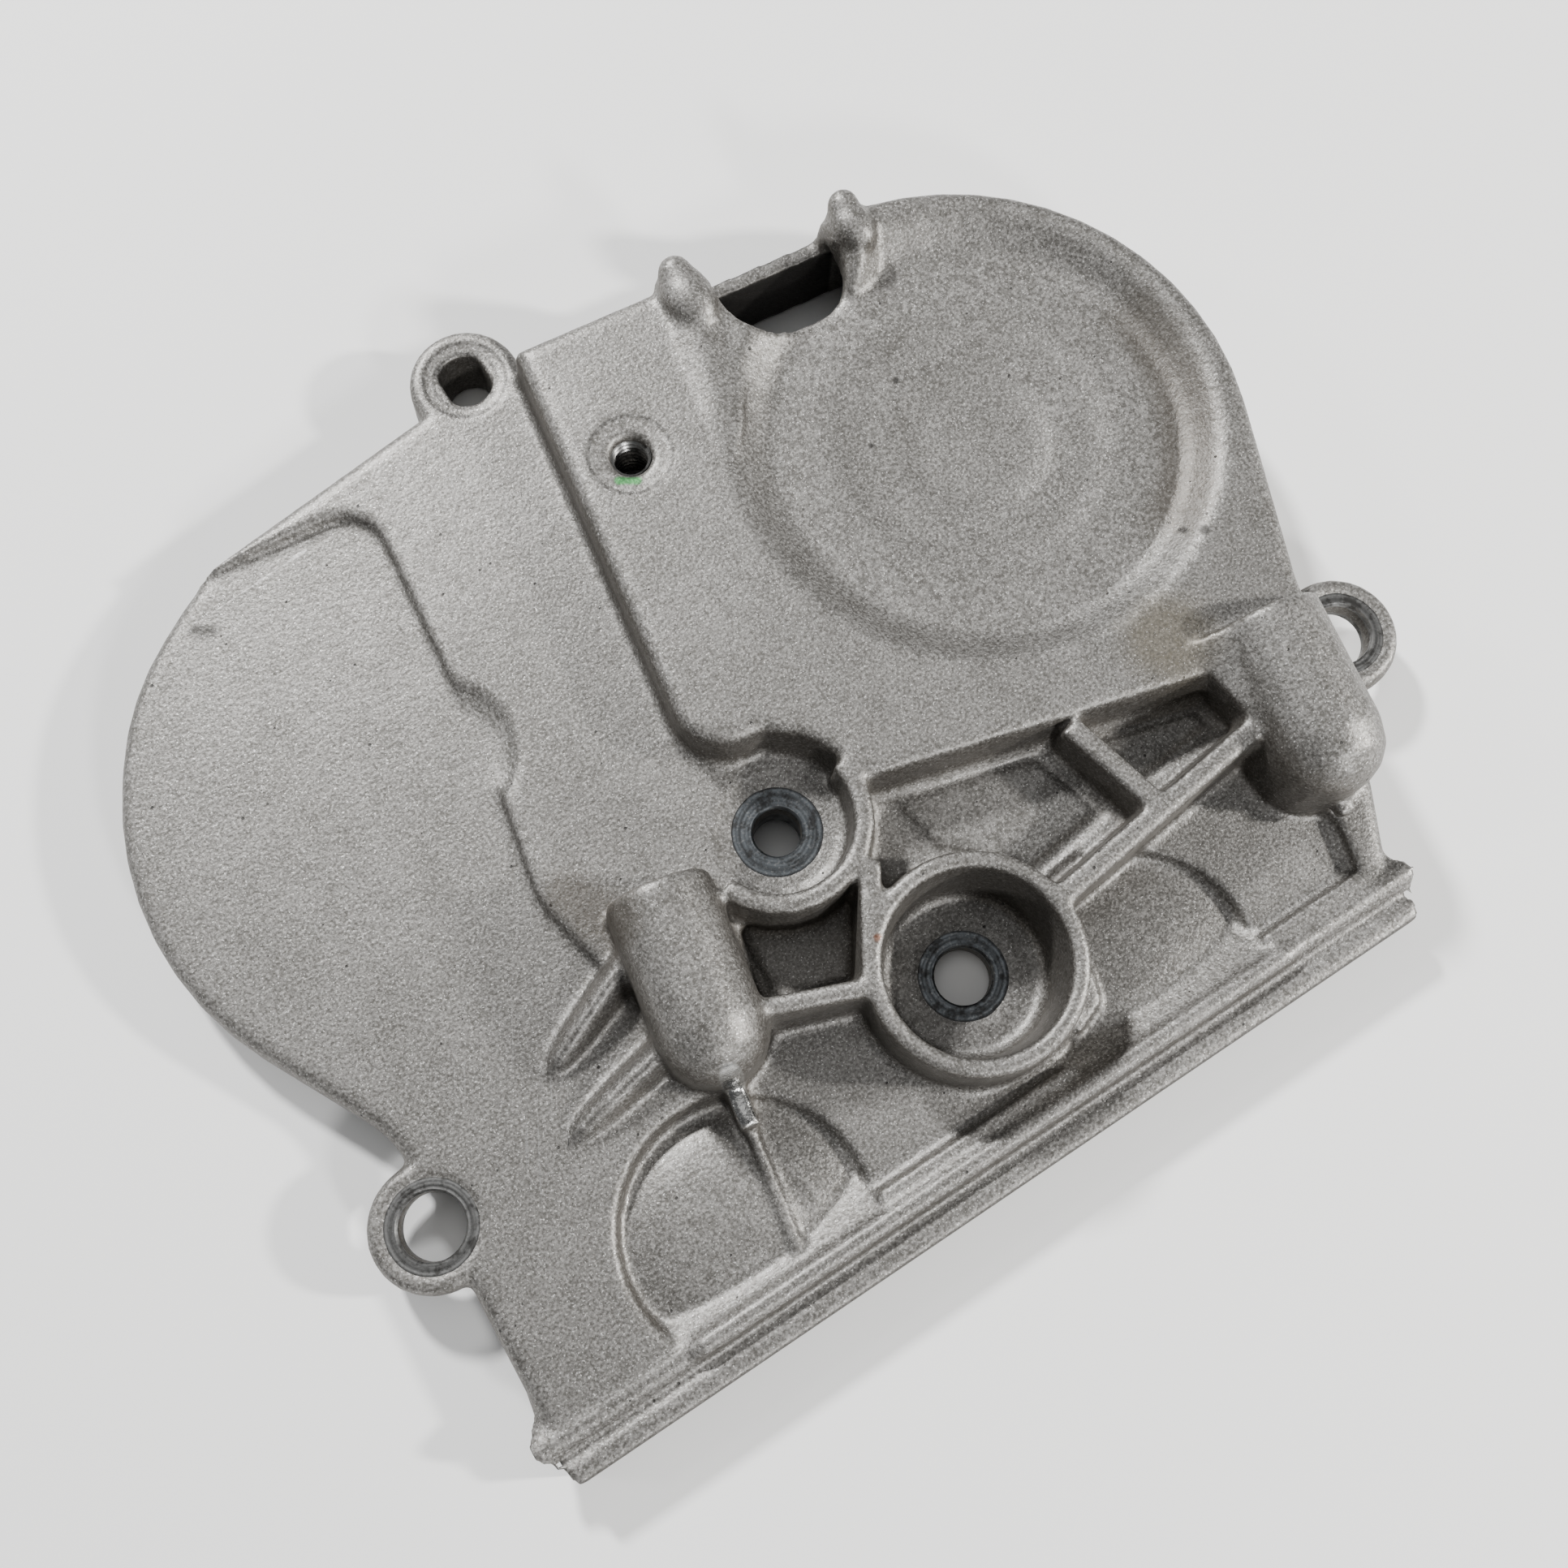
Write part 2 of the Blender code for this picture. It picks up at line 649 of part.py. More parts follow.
def cut_pockets(body):
    """Sink the pockets between the ribs and beside the rail."""
    reach_y = RAIL_BACK_Y - 1.5
    lower = [
        (77.2, reach_y, 2.5),
        (79.6, 20.5, 2.0),
        (73.5, 39.0, 2.0),
        (28.0, 33.8, 1.0),
        (TUBE[0], TUBE[1] + 8.0, 1.0),
        (-5.0, 37.6, 1.0),
        (-20.4, 43.0, 2.0),
        (-29.0, 40.0, 2.0),
        (-34.0, 30.0, 2.0),
        (-34.0, reach_y, 1.0),
    ]
    lower_cut = pad("lower_cut", lower, hollow(POCKET_FLOOR_Z, FACE_RIGHT_Z + 6.0, 1.4))
    small = [
        (-18.6, 45.6, 1.2),
        (-5.6, 41.6, 1.2),
        (2.6, 50.6, 1.6),
        (0.0, 60.0, 1.6),
        (-17.8, 59.6, 1.2),
    ]
    small_cut = pad("small_cut", small, hollow(SMALL_POCKET_FLOOR_Z, FACE_RIGHT_Z + 4.0, 1.0))
    keep_well(small_cut)
    first = [
        (4.4, 53.0, 1.0),
        (12.0, 46.0, 1.0),
        (28.5, 38.4, 1.0),
        (47.0, 41.4, 1.5),
        (42.6, 58.2, 1.5),
        (14.0, 65.2, 1.0),
        (8.0, 62.0, 2.0),
    ]
    second = [
        (52.0, 42.0, 1.2),
        (71.5, 44.0, 1.2),
        (70.5, 50.6, 1.2),
        (48.4, 56.4, 2.2),
    ]
    cuts = [lower_cut, small_cut]
    for name, corners in (("first_cut", first), ("second_cut", second)):
        cut = pad(name, corners, hollow(UPPER_POCKET_FLOOR_Z, FACE_RIGHT_Z + 4.0, 1.0))
        cuts.append(keep_well(cut))
    combine(body, cuts, "DIFFERENCE")
    raised = []
    first_floor = [(16.4, 62.8, 1.5), (18.5, 53.0, 3.0), (30.0, 41.8, 1.5), (44.2, 43.8, 1.5), (40.4, 56.8, 1.5)]
    second_floor = inset(second, 2.2)
    for name, shrunk in (("first_pad", first_floor), ("second_pad", second_floor)):
        raised.append(pad(name, shrunk, [(-0.6, UPPER_POCKET_FLOOR_Z - 1.0), (0.3, UPPER_POCKET_PAD_Z)]))
    return combine(body, raised, "UNION")


def sink_domes(body):
    """Round pockets beside the rail, each with a shallow dome standing in it."""
    cuts = []
    for name, centre, top in (
        ("dome_left", DOME_LEFT, DOME_LEFT_TOP_Z),
        ("dome_right", DOME_RIGHT, DOME_RIGHT_TOP_Z),
    ):
        rise = top - DOME_FOOT_Z
        profile = [(0.4, top)]
        for share in (0.3, 0.55, 0.75, 0.88):
            profile.append((DOME_R * share, top - rise * (share / 0.9) ** 2))
        profile += [
            (DOME_R - 1.6, DOME_FOOT_Z),
            (DOME_R - 0.6, DOME_FOOT_Z + 0.9),
            (DOME_R, DOME_FOOT_Z + 2.4),
            (DOME_R + 0.3, FACE_LEFT_Z - 0.8),
            (DOME_R + 1.2, FACE_LEFT_Z + 0.2),
            (DOME_R + 1.2, FACE_RIGHT_Z),
        ]
        cuts.append(spin(name, centre, profile, 12.0))
    return combine(body, cuts, "DIFFERENCE")


def add_ribs_and_bosses(body):
    """The ribs, round walls, fins and screw bosses that stand on the pocket floors."""
    high = FACE_RIGHT_Z
    low = POCKET_FLOOR_Z - 2.5
    levels = drafted(low, high, SMALL_EDGE_R)
    spread = (high - low) * DRAFT
    levels = [(distance - spread, height) for distance, height in levels]
    tube_lean = (high - low) * DRAFT
    tube = spin(
        "tube",
        TUBE,
        [
            (TUBE_OUTER_R + tube_lean + 1.2, low),
            (TUBE_OUTER_R + tube_lean + 1.0, POCKET_FLOOR_Z + 0.1),
            (TUBE_OUTER_R + tube_lean - 0.2, POCKET_FLOOR_Z + 1.3),
            (TUBE_OUTER_R, high - SMALL_EDGE_R),
            (TUBE_OUTER_R - SMALL_EDGE_R * 0.8, high),
        ],
        12.0,
    )
    along = unit(RIB_ONE_END[0] - RIB_ONE_START[0], RIB_ONE_END[1] - RIB_ONE_START[1])
    rib_one = bar(
        "rib_one",
        (RIB_ONE_START[0] + 0.5 - along[1] * 2.3, RIB_ONE_START[1] + along[0] * 2.3),
        (RIB_ONE_END[0] - along[1] * 2.3, RIB_ONE_END[1] + along[0] * 2.3),
        RIB_WIDTH,
        drafted(FACE_MIDDLE_Z, high + 0.03, SMALL_EDGE_R),
    )
    rib_two = bar("rib_two", (TUBE[0] + 14.0, TUBE[1] + 1.0), (76.0, 41.2), RIB_WIDTH, levels)
    rib_three = bar("rib_three", (45.9, 57.2), (50.6, 38.5), RIB_WIDTH, levels)
    rib_five = bar("rib_five", (3.6, 52.2), (-5.2, 38.0), RIB_WIDTH, levels)
    rib_six = bar("rib_six", (-24.0, 46.2), (TUBE[0] - 15.0, TUBE[1] + 5.3), RIB_THIN, levels)
    well_wall = arc_wall(
        "well_wall",
        WELL,
        WELL_WALL_INNER_R,
        WELL_WALL_OUTER_R,
        -160.0,
        12.0,
        low,
        high,
    )
    left = boss("boss_left", BOSS_LEFT_END, BOSS_LEFT_R, low)
    right = boss("boss_right", BOSS_RIGHT_END, BOSS_RIGHT_R, BELOW - 0.2)
    fins = []
    for name, root, tip, drop in (
        ("fin_upper", FIN_UPPER_ROOT, FIN_UPPER_TIP, 0.0),
        ("fin_lower", FIN_LOWER_ROOT, FIN_LOWER_TIP, 0.8),
    ):
        path = []
        for share, wide, rise in FIN_SHAPE:
            x = root[0] + (tip[0] - root[0]) * share
            y = root[1] + (tip[1] - root[1]) * share
            crest = FACE_LEFT_Z + (FIN_TOP_Z - drop - FACE_LEFT_Z) * rise
            path.append((x, y, FIN_HALF * wide, FACE_LEFT_Z - 0.4, crest))
        fins.append(ridge(name, path, low + 0.3, 0.8))
    end_wall = bar(
        "end_wall",
        along_boss(BOSS_RIGHT_END, BOSS_LENGTH - 6.0, 1.4),
        (79.3, RAIL_BACK_Y - 4.0),
        RIB_THIN,
        drafted(BELOW - 0.3, FACE_LEFT_Z + 5.5, SMALL_EDGE_R),
    )
    slope_down(
        end_wall,
        along_boss(BOSS_RIGHT_END, BOSS_LENGTH - 6.0, 1.4),
        (79.3, RAIL_BACK_Y - 4.0),
        FACE_LEFT_Z,
        5.0,
    )
    foot = pad(
        "tube_foot",
        [(23.0, 22.0, 1.0), (20.0, 14.0, 1.0), (27.5, 17.0, 1.5), (30.0, 24.0, 1.0)],
        [(-0.6, 3.0), (0.4, POCKET_FLOOR_Z + 1.2)],
    )
    group = [tube, rib_one, rib_two, rib_three, rib_five, rib_six, well_wall, left, right]
    return combine(body, group + fins + [end_wall, foot], "UNION")


def add_edges(body):
    """The rail, the lip of the opening, the ears and the trim under the bosses."""
    ears = []
    for name, centre, low, high in (
        ("ear_left", EAR_LEFT, FACE_LEFT_Z - EAR_THICKNESS, FACE_LEFT_Z),
        ("ear_right", EAR_RIGHT, FACE_LEFT_Z - EAR_THICKNESS, FACE_LEFT_Z),
        ("ear_top", EAR_TOP, BELOW - 0.6, FACE_MIDDLE_Z),
    ):
        lean = (high - low) * DRAFT
        ears.append(
            spin(
                name,
                centre,
                [
                    (EAR_R - 0.4, low),
                    (EAR_R, low + 0.4),
                    (EAR_R - lean, high - 1.4),
                    (EAR_R - lean - 0.5, high - 0.4),
                    (EAR_R - lean - 1.4, high + 0.05),
                ],
            )
        )
    tab = bar(
        "tab",
        along_boss(BOSS_LEFT_END, BOSS_LENGTH - 3.0),
        along_boss(BOSS_LEFT_END, BOSS_LENGTH - 1.0 + TAB_LENGTH),
        TAB_WIDTH,
        [(0.0, 4.0), (0.0, TAB_Z), (0.3, TAB_Z + 0.3)],
    )
    nub = bar(
        "nub",
        along_boss(BOSS_RIGHT_END, BOSS_LENGTH - 3.0),
        along_boss(BOSS_RIGHT_END, BOSS_LENGTH + NUB_LENGTH),
        TAB_WIDTH,
        [(0.6, NUB_Z - 3.6), (0.0, NUB_Z - 3.0), (0.0, NUB_Z - 0.5), (0.6, NUB_Z)],
    )
    seam = bar(
        "seam",
        along_boss(BOSS_LEFT_END, BOSS_LENGTH + 4.0),
        along_boss(BOSS_LEFT_END, BOSS_LENGTH + TAB_LENGTH + 20.2),
        SEAM_WIDTH,
        [(-0.6, 4.5), (0.0, SEAM_Z - 0.3), (0.35, SEAM_Z)],
    )
    return combine(body, [rail(), bead()] + ears + [tab, nub, seam], "UNION")


def hollow_inside(body):
    """Core out the rear, leaving a wall and a roof of even thickness."""
    walls = walls_outline()
    deepest = -3.0
    base = pad("core_base", inset(walls, WALL), [(0.0, deepest), (0.2, DOME_FOOT_Z - ROOF)])
    left = [
        (-90.0, 18.0, 6.0),
        (-66.0, 18.0, 3.0),
        (-62.0, 62.0, 3.0),
        (-45.0, 72.0, 3.0),
        (-45.0, 175.0, 3.0),
        (-108.0, 175.0, 3.0),
        (-108.0, 60.0, 3.0),
    ]
    left_core = pad("core_left", left, [(0.0, deepest - 1.0), (0.5, FACE_LEFT_Z - ROOF)])
    left_fence = pad("core_left_fence", inset(walls, WALL), [(0.0, deepest - 2.0), (0.4, FACE_RIGHT_Z)])
    combine(left_core, [left_fence], "INTERSECT")
    middle_roof = FACE_MIDDLE_Z - ROOF
    middle_core = pad(
        "core_middle",
        [
            (-46.0, 74.0, 2.0),
            (-17.0, 72.0, 2.0),
            (6.0, 82.0, 2.0),
            (10.0, 175.0, 2.0),
            (-30.0, 180.0, 2.0),
            (-30.5, 104.0, 3.0),
            (-46.0, 92.0, 3.0),
        ],
        [(0.0, deepest - 1.5), (0.5, middle_roof)],
    )
    middle_fence = pad("core_middle_fence", inset(walls, WALL), [(0.0, deepest - 2.5), (0.4, FACE_RIGHT_Z)])
    combine(middle_core, [middle_fence], "INTERSECT")
    roof = FACE_RIGHT_Z - ROOF
    right_core = pad(
        "core_right",
        inset(right_outline(), WALL),
        [(0.0, deepest - 0.5), (0.3, roof - 2.0), (1.0, roof - 0.6), (2.2, roof)],
    )
    well_clear = spin(
        "core_well_clear",
        WELL,
        [(WELL_CUT_R + WALL + 1.0, deepest - 3.0), (WELL_CUT_R + WALL + 1.0, FACE_RIGHT_Z)],
    )
    combine(right_core, [well_clear], "DIFFERENCE")
    upper_pocket_core = pad(
        "core_upper_pocket",
        [(14.5, 62.0, 3.0), (31.5, 41.5, 3.0), (71.0, 45.5, 3.0), (70.0, 62.0, 3.0), (30.0, 72.0, 3.0)],
        [(0.0, deepest - 2.2), (0.5, UPPER_POCKET_FLOOR_Z - ROOF)],
    )
    lower_pocket_core = pad(
        "core_lower_pocket",
        [(61.0, 15.0, 3.0), (76.0, 15.0, 2.0), (74.5, 35.0, 3.0), (60.5, 34.0, 3.0)],
        [(0.0, deepest - 2.7), (0.5, POCKET_FLOOR_Z - ROOF)],
    )
    cores = [base, left_core, middle_core, right_core, upper_pocket_core, lower_pocket_core]
    return combine(body, cores, "DIFFERENCE")


def add_inner_columns(body):
    """Columns round the bolts and the thicker roof that carries the dish."""
    columns = [
        spin("well_column", WELL, [(WELL_COLUMN_R, BELOW), (WELL_COLUMN_R + 0.4, WELL_SEAT_Z - 1.0)]),
        spin("tube_column", TUBE, [(TUBE_OUTER_R - 2.0, BELOW), (TUBE_OUTER_R - 1.4, POCKET_FLOOR_Z - 1.0)]),
        spin(
            "tapped_column",
            TAPPED,
            [
                (TAPPED_COLUMN_R - 1.0, FACE_RIGHT_Z - TAPPED_LENGTH),
                (TAPPED_COLUMN_R, FACE_RIGHT_Z - TAPPED_LENGTH + 1.0),
                (TAPPED_COLUMN_R + 0.5, FACE_RIGHT_Z - 1.2),
            ],
        ),
        spin(
            "dish_underside",
            DISH,
            [
                (DISH_SECOND_R, DISH_FLOOR_Z - ROOF - 2 * DISH_STEP_DROP),
                (DISH_FLOOR_R, DISH_FLOOR_Z - ROOF),
                (DISH_RIM_R + 1.0, FACE_RIGHT_Z - ROOF - 0.8),
                (DISH_RIM_R + 1.0, FACE_RIGHT_Z - 1.4),
            ],
            9.0,
        ),
    ]
    return combine(body, columns, "UNION")


def cut_dish(body):
    """The round stepped dish in the right-hand face."""
    last = DISH_FLOOR_Z - 2 * DISH_STEP_DROP
    cut = spin(
        "dish_cut",
        DISH,
        [
            (DISH_THIRD_R - 1.6, last),
            (DISH_THIRD_R + 1.0, last + DISH_STEP_DROP),
            (DISH_SECOND_R - 1.8, last + DISH_STEP_DROP + 0.1),
            (DISH_SECOND_R + 1.0, DISH_FLOOR_Z),
            (DISH_FLOOR_R - 1.5, DISH_FLOOR_Z + 0.1),
            (DISH_FLOOR_R + 0.6, DISH_FLOOR_Z + 1.0),
            (DISH_RIM_R - 1.6, FACE_RIGHT_Z - 0.9),
            (DISH_RIM_R - 0.3, FACE_RIGHT_Z - 0.25),
            (DISH_RIM_R + 1.0, FACE_RIGHT_Z + 0.08),
            (DISH_RIM_R + 1.0, FACE_RIGHT_Z + 1.5),
        ],
        7.5,
    )
    return combine(body, [cut], "DIFFERENCE")


def add_horns(body):
    """The two smooth horns each side of the opening, with a low swell beside the dish."""
    face = FACE_RIGHT_Z
    x, y, top = HORN_LEFT
    half = HORN_LEFT_HALF
    left = [
        (x, y + 0.8, half * 0.45, face - 0.8, top - 1.6),
        (x, y, half * 0.8, face - 0.8, top - 0.2),
        (x - 0.1, y - 3.0, half, face - 0.7, top),
        (x - 0.4, y - 7.0, half * 1.1, face - 0.6, top - 1.3),
        (x - 1.9, y - 12.0, half * 1.35, face - 0.5, top - 2.7),
        (x - 3.9, y - 17.0, half * 1.35, face - 0.5, top - 3.4),
        (x - 5.8, y - 23.0, half * 1.2, face - 0.5, top - 3.8),
        (x - 8.6, y - 29.0, half, face - 0.5, face + 0.3),
        (x - 11.0, y - 34.0, half * 0.7, face - 0.5, face - 0.2),
    ]
    x, y, top = HORN_RIGHT
    half = HORN_RIGHT_HALF
    right = [
        (x, y + 0.7, half * 0.45, face - 0.8, top - 1.6),
        (x, y, half * 0.8, face - 0.8, top - 0.2),
        (x - 0.1, y - 2.6, half, face - 0.8, top),
        (x - 0.7, y - 5.8, half, face - 1.4, top - 1.4),
        (x - 1.9, y - 8.8, half * 0.95, face - 2.6, top - 2.8),
        (x - 3.9, y - 11.6, half * 0.85, face - 4.2, top - 4.4),
        (x - 6.9, y - 14.2, half * 0.7, DISH_FLOOR_Z - 0.4, DISH_FLOOR_Z + 1.0),
    ]
    horns = [ridge("horn_left", left, face - 6.0, 1.5), ridge("horn_right", right, face - 6.5, 1.5)]
    return combine(body, horns, "UNION")


def cut_holes(body):
    """Every bore and counterbore."""
    cuts = []
    for name, centre in (("bore_left", EAR_LEFT), ("bore_right", EAR_RIGHT)):
        hole = spin(
            name,
            centre,
            [
                (EAR_BORE_R, -4.0),
                (EAR_BORE_R, FACE_LEFT_Z - SEAT_DEPTH - 0.3),
                (EAR_BORE_R + 0.3, FACE_LEFT_Z - SEAT_DEPTH),
                (EAR_SEAT_R, FACE_LEFT_Z - SEAT_DEPTH + 0.001),
                (EAR_SEAT_R + 0.25, FACE_LEFT_Z + 0.4),
            ],
        )
        cuts.append(hole)
    flat = bar(
        "bore_top",
        (EAR_TOP[0], EAR_TOP[1] - 10.0),
        (EAR_TOP[0], EAR_TOP[1] + 10.0),
        2 * TOP_EAR_FLAT,
        [(0.0, -5.0), (0.0, FACE_MIDDLE_Z + 3.0)],
    )
    round_part = spin("bore_top_round", EAR_TOP, [(TOP_EAR_BORE_R, -4.0), (TOP_EAR_BORE_R, FACE_MIDDLE_Z + 2.0)])
    combine(flat, [round_part], "INTERSECT")
    seat = spin(
        "bore_top_seat",
        EAR_TOP,
        [
            (TOP_EAR_SEAT_R, FACE_MIDDLE_Z - SEAT_DEPTH),
            (TOP_EAR_SEAT_R + 0.25, FACE_MIDDLE_Z + 0.4),
        ],
    )
    cuts += [flat, seat]
    cuts.append(
        spin(
            "well_bore",
            WELL,
            [
                (WELL_BORE_R + 1.4, -4.0),
                (WELL_BORE_R + 1.4, WELL_SEAT_Z - 5.0),
                (WELL_BORE_R, WELL_SEAT_Z - 4.8),
                (WELL_BORE_R, WELL_SEAT_Z - 0.3),
                (WELL_BORE_R + 0.3, WELL_SEAT_Z),
                (WELL_SEAT_R, WELL_SEAT_Z + 0.001),
                (WELL_SEAT_R + 0.1, WELL_SEAT_Z + 0.35),
                (WELL_FLOOR_R - 0.5, WELL_SEAT_Z + 0.4),
                (WELL_FLOOR_R + 0.4, WELL_SEAT_Z + 1.6),
            ],
        )
    )
    cuts.append(
        spin(
            "tube_bore",
            TUBE,
            [
                (TUBE_BORE_R, -4.0),
                (TUBE_BORE_R, TUBE_FLOOR_Z - 0.7),
                (TUBE_BORE_R + 0.3, TUBE_FLOOR_Z - 0.4),
                (TUBE_SEAT_R, TUBE_FLOOR_Z - 0.399),
                (TUBE_SEAT_R + 0.1, TUBE_FLOOR_Z),
                (TUBE_FLOOR_R, TUBE_FLOOR_Z + 0.001),
                (TUBE_FLOOR_R + 1.2, TUBE_FLOOR_Z + 0.6),
                (TUBE_FLOOR_R + 1.9, TUBE_FLOOR_Z + 2.2),
                (TUBE_INNER_R - 0.1, FACE_RIGHT_Z - 0.7),
                (TUBE_INNER_R + 0.6, FACE_RIGHT_Z + 0.1),
                (TUBE_INNER_R + 0.6, FACE_RIGHT_Z + 2.0),
            ],
            12.0,
        )
    )
    cuts.append(
        spin(
            "tapped_bore",
            TAPPED,
            [
                (TAPPED_BORE_R, -4.0),
                (TAPPED_BORE_R, FACE_RIGHT_Z - 1.3),
                (TAPPED_CHAMFER_R, FACE_RIGHT_Z - 0.3),
                (TAPPED_SEAT_R, FACE_RIGHT_Z - 0.299),
                (TAPPED_SEAT_R + 0.2, FACE_RIGHT_Z + 0.5),
            ],
        )
    )
    cuts.append(boss_bore("boss_bore_left", BOSS_LEFT_END))
    cuts.append(boss_bore("boss_bore_right", BOSS_RIGHT_END))
    window = pad("window", window_outline(0.0, WINDOW_TOP), [(0.3, WINDOW_SILL_Z), (-0.6, FACE_RIGHT_Z + 6.0)])
    inner_levels = [(0.4, FACE_MIDDLE_Z - ROOF), (-0.5, FACE_RIGHT_Z + 5.0)]
    cuts.append(pad("window_inner", window_outline(-0.05, WINDOW_INNER_TOP), inner_levels))
    cuts.append(window)
    return combine(body, cuts, "DIFFERENCE")


def face_flange(body):
    """Face the rear flat."""
    low = BELOW - 6.0
    block = [(-150.0, -40.0, 0.0), (150.0, -40.0, 0.0), (150.0, 220.0, 0.0), (-150.0, 220.0, 0.0)]
    return combine(body, [pad("facing", block, [(0.0, low), (0.0, 0.0)])], "DIFFERENCE")


def centre_on_box(item):
    """Move the mesh so that its box is centred on X and Y, with the flange at Z = 0."""
    xs = [vertex.co.x for vertex in item.data.vertices]
    ys = [vertex.co.y for vertex in item.data.vertices]
    shift_x = -(min(xs) + max(xs)) / 2
    shift_y = -(min(ys) + max(ys)) / 2
    for vertex in item.data.vertices:
        vertex.co.x += shift_x
        vertex.co.y += shift_y


def dress(item):
    """Give the casting its own material and shade only its round sides smooth."""
    metal = bpy.data.materials.new("cast_aluminium")
    metal.use_nodes = True
    shader = metal.node_tree.nodes["Principled BSDF"]
    shader.inputs["Base Color"].default_value = (0.46, 0.45, 0.43, 1.0)
    shader.inputs["Metallic"].default_value = 0.8
    shader.inputs["Roughness"].default_value = 0.55
    item.data.materials.clear()
    item.data.materials.append(metal)
    shell = bmesh.new()
    shell.from_mesh(item.data)
    for face in shell.faces:
        face.smooth = True
    for edge in shell.edges:
        edge.smooth = len(edge.link_faces) == 2 and edge.calc_face_angle(0.0) < math.radians(35.0)
    shell.to_mesh(item.data)
    shell.free()


def main():
    """Build the cover."""
    clear_scene()
    body = outer_body()
    cut_pockets(body)
    sink_domes(body)
    add_ribs_and_bosses(body)
    add_edges(body)
    hollow_inside(body)
    add_inner_columns(body)
    cut_dish(body)
    add_horns(body)
    cut_holes(body)
    face_flange(body)
    centre_on_box(body)
    dress(body)


if __name__ == "__main__":
    main()
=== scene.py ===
import logging
import math
from collections.abc import Callable
from dataclasses import dataclass
from enum import Enum

import bmesh
import bpy
import numpy as np
from mathutils import Euler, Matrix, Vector
from mathutils.bvhtree import BVHTree


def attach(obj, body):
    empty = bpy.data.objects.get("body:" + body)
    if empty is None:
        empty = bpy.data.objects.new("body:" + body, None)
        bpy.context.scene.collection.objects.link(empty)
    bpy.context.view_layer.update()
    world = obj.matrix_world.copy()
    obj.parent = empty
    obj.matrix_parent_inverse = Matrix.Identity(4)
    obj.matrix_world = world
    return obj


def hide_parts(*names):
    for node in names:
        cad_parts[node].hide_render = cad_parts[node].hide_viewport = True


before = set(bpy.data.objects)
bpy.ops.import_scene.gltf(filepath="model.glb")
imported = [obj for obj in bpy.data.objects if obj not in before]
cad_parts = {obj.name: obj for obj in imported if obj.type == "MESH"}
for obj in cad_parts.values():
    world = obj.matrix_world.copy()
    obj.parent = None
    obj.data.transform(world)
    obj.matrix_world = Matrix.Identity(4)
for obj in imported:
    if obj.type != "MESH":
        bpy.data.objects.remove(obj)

MM = 0.001
# Where the source's own origin, the left end of the rail's line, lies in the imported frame, in mm.
ORIGIN_X = -5.843
ORIGIN_Y = -89.620
LOG = logging.getLogger("timing_cover")


def place(x: float, y: float, z: float) -> Vector:
    """Turn a point of the source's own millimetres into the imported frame's metres.

    Args:
        x: Millimetres along the rail.
        y: Millimetres up the face.
        z: Millimetres out of the face.

    Returns:
        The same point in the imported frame, in metres.
    """
    return Vector(((x + ORIGIN_X) * MM, (y + ORIGIN_Y) * MM, z * MM))


class Part(Enum):
    """Named kinds of mesh element that a pick can choose among."""

    FACES = "FACE"
    EDGES = "EDGE"
    POINTS = "VERT"


class Wire:
    """One value in a shader: a socket whose sums and products add Math nodes."""

    def __init__(self, graph: "Graph", socket: bpy.types.NodeSocket) -> None:
        """Keep the socket and the graph that it belongs to."""
        self.graph = graph
        self.socket = socket

    def math(self, operation: str, *others: "Wire | float", first: "Wire | float | None" = None) -> "Wire":
        """Add one Math node.

        Args:
            operation: The Math node's operation.
            others: What stands after this value.
            first: What stands before it, in place of this value, for the reflected forms.

        Returns:
            The node's result.
        """
        values = [first, self] if first is not None else [self, *others]
        return self.graph.add("ShaderNodeMath", {"operation": operation}, values)

    def __add__(self, other: "Wire | float") -> "Wire":
        """Sum."""
        return self.math("ADD", other)

    def __radd__(self, other: "Wire | float") -> "Wire":
        """Sum with a number in front."""
        return self.math("ADD", first=other)

    def __sub__(self, other: "Wire | float") -> "Wire":
        """Difference."""
        return self.math("SUBTRACT", other)

    def __rsub__(self, other: "Wire | float") -> "Wire":
        """Difference with a number in front."""
        return self.math("SUBTRACT", first=other)

    def __mul__(self, other: "Wire | float") -> "Wire":
        """Product."""
        return self.math("MULTIPLY", other)

    def __rmul__(self, other: "Wire | float") -> "Wire":
        """Product with a number in front."""
        return self.math("MULTIPLY", first=other)

    def __abs__(self) -> "Wire":
        """Size without its sign."""
        return self.math("ABSOLUTE")

    def power(self, exponent: float) -> "Wire":
        """This value raised to a fixed power."""
        return self.math("POWER", exponent)

    def root(self) -> "Wire":
        """Square root."""
        return self.math("SQRT")

    def least(self, other: "Wire | float") -> "Wire":
        """The smaller of two values."""
        return self.math("MINIMUM", other)

    def most(self, other: "Wire | float") -> "Wire":
        """The larger of two values."""
        return self.math("MAXIMUM", other)

    def rise(self, low: float, high: float, start: float = 0.0, end: float = 1.0) -> "Wire":
        """Ease from one value to another as this one passes between two marks.

        Args:
            low: The mark where the result is still start.
            high: The mark where the result becomes end.
            start: The result below the low mark.
            end: The result above the high mark.

        Returns:
            The eased value.
        """
        inputs = {"Value": self, "From Min": low, "From Max": high, "To Min": start, "To Max": end}
        return self.graph.add("ShaderNodeMapRange", {"interpolation_type": "SMOOTHSTEP"}, inputs)


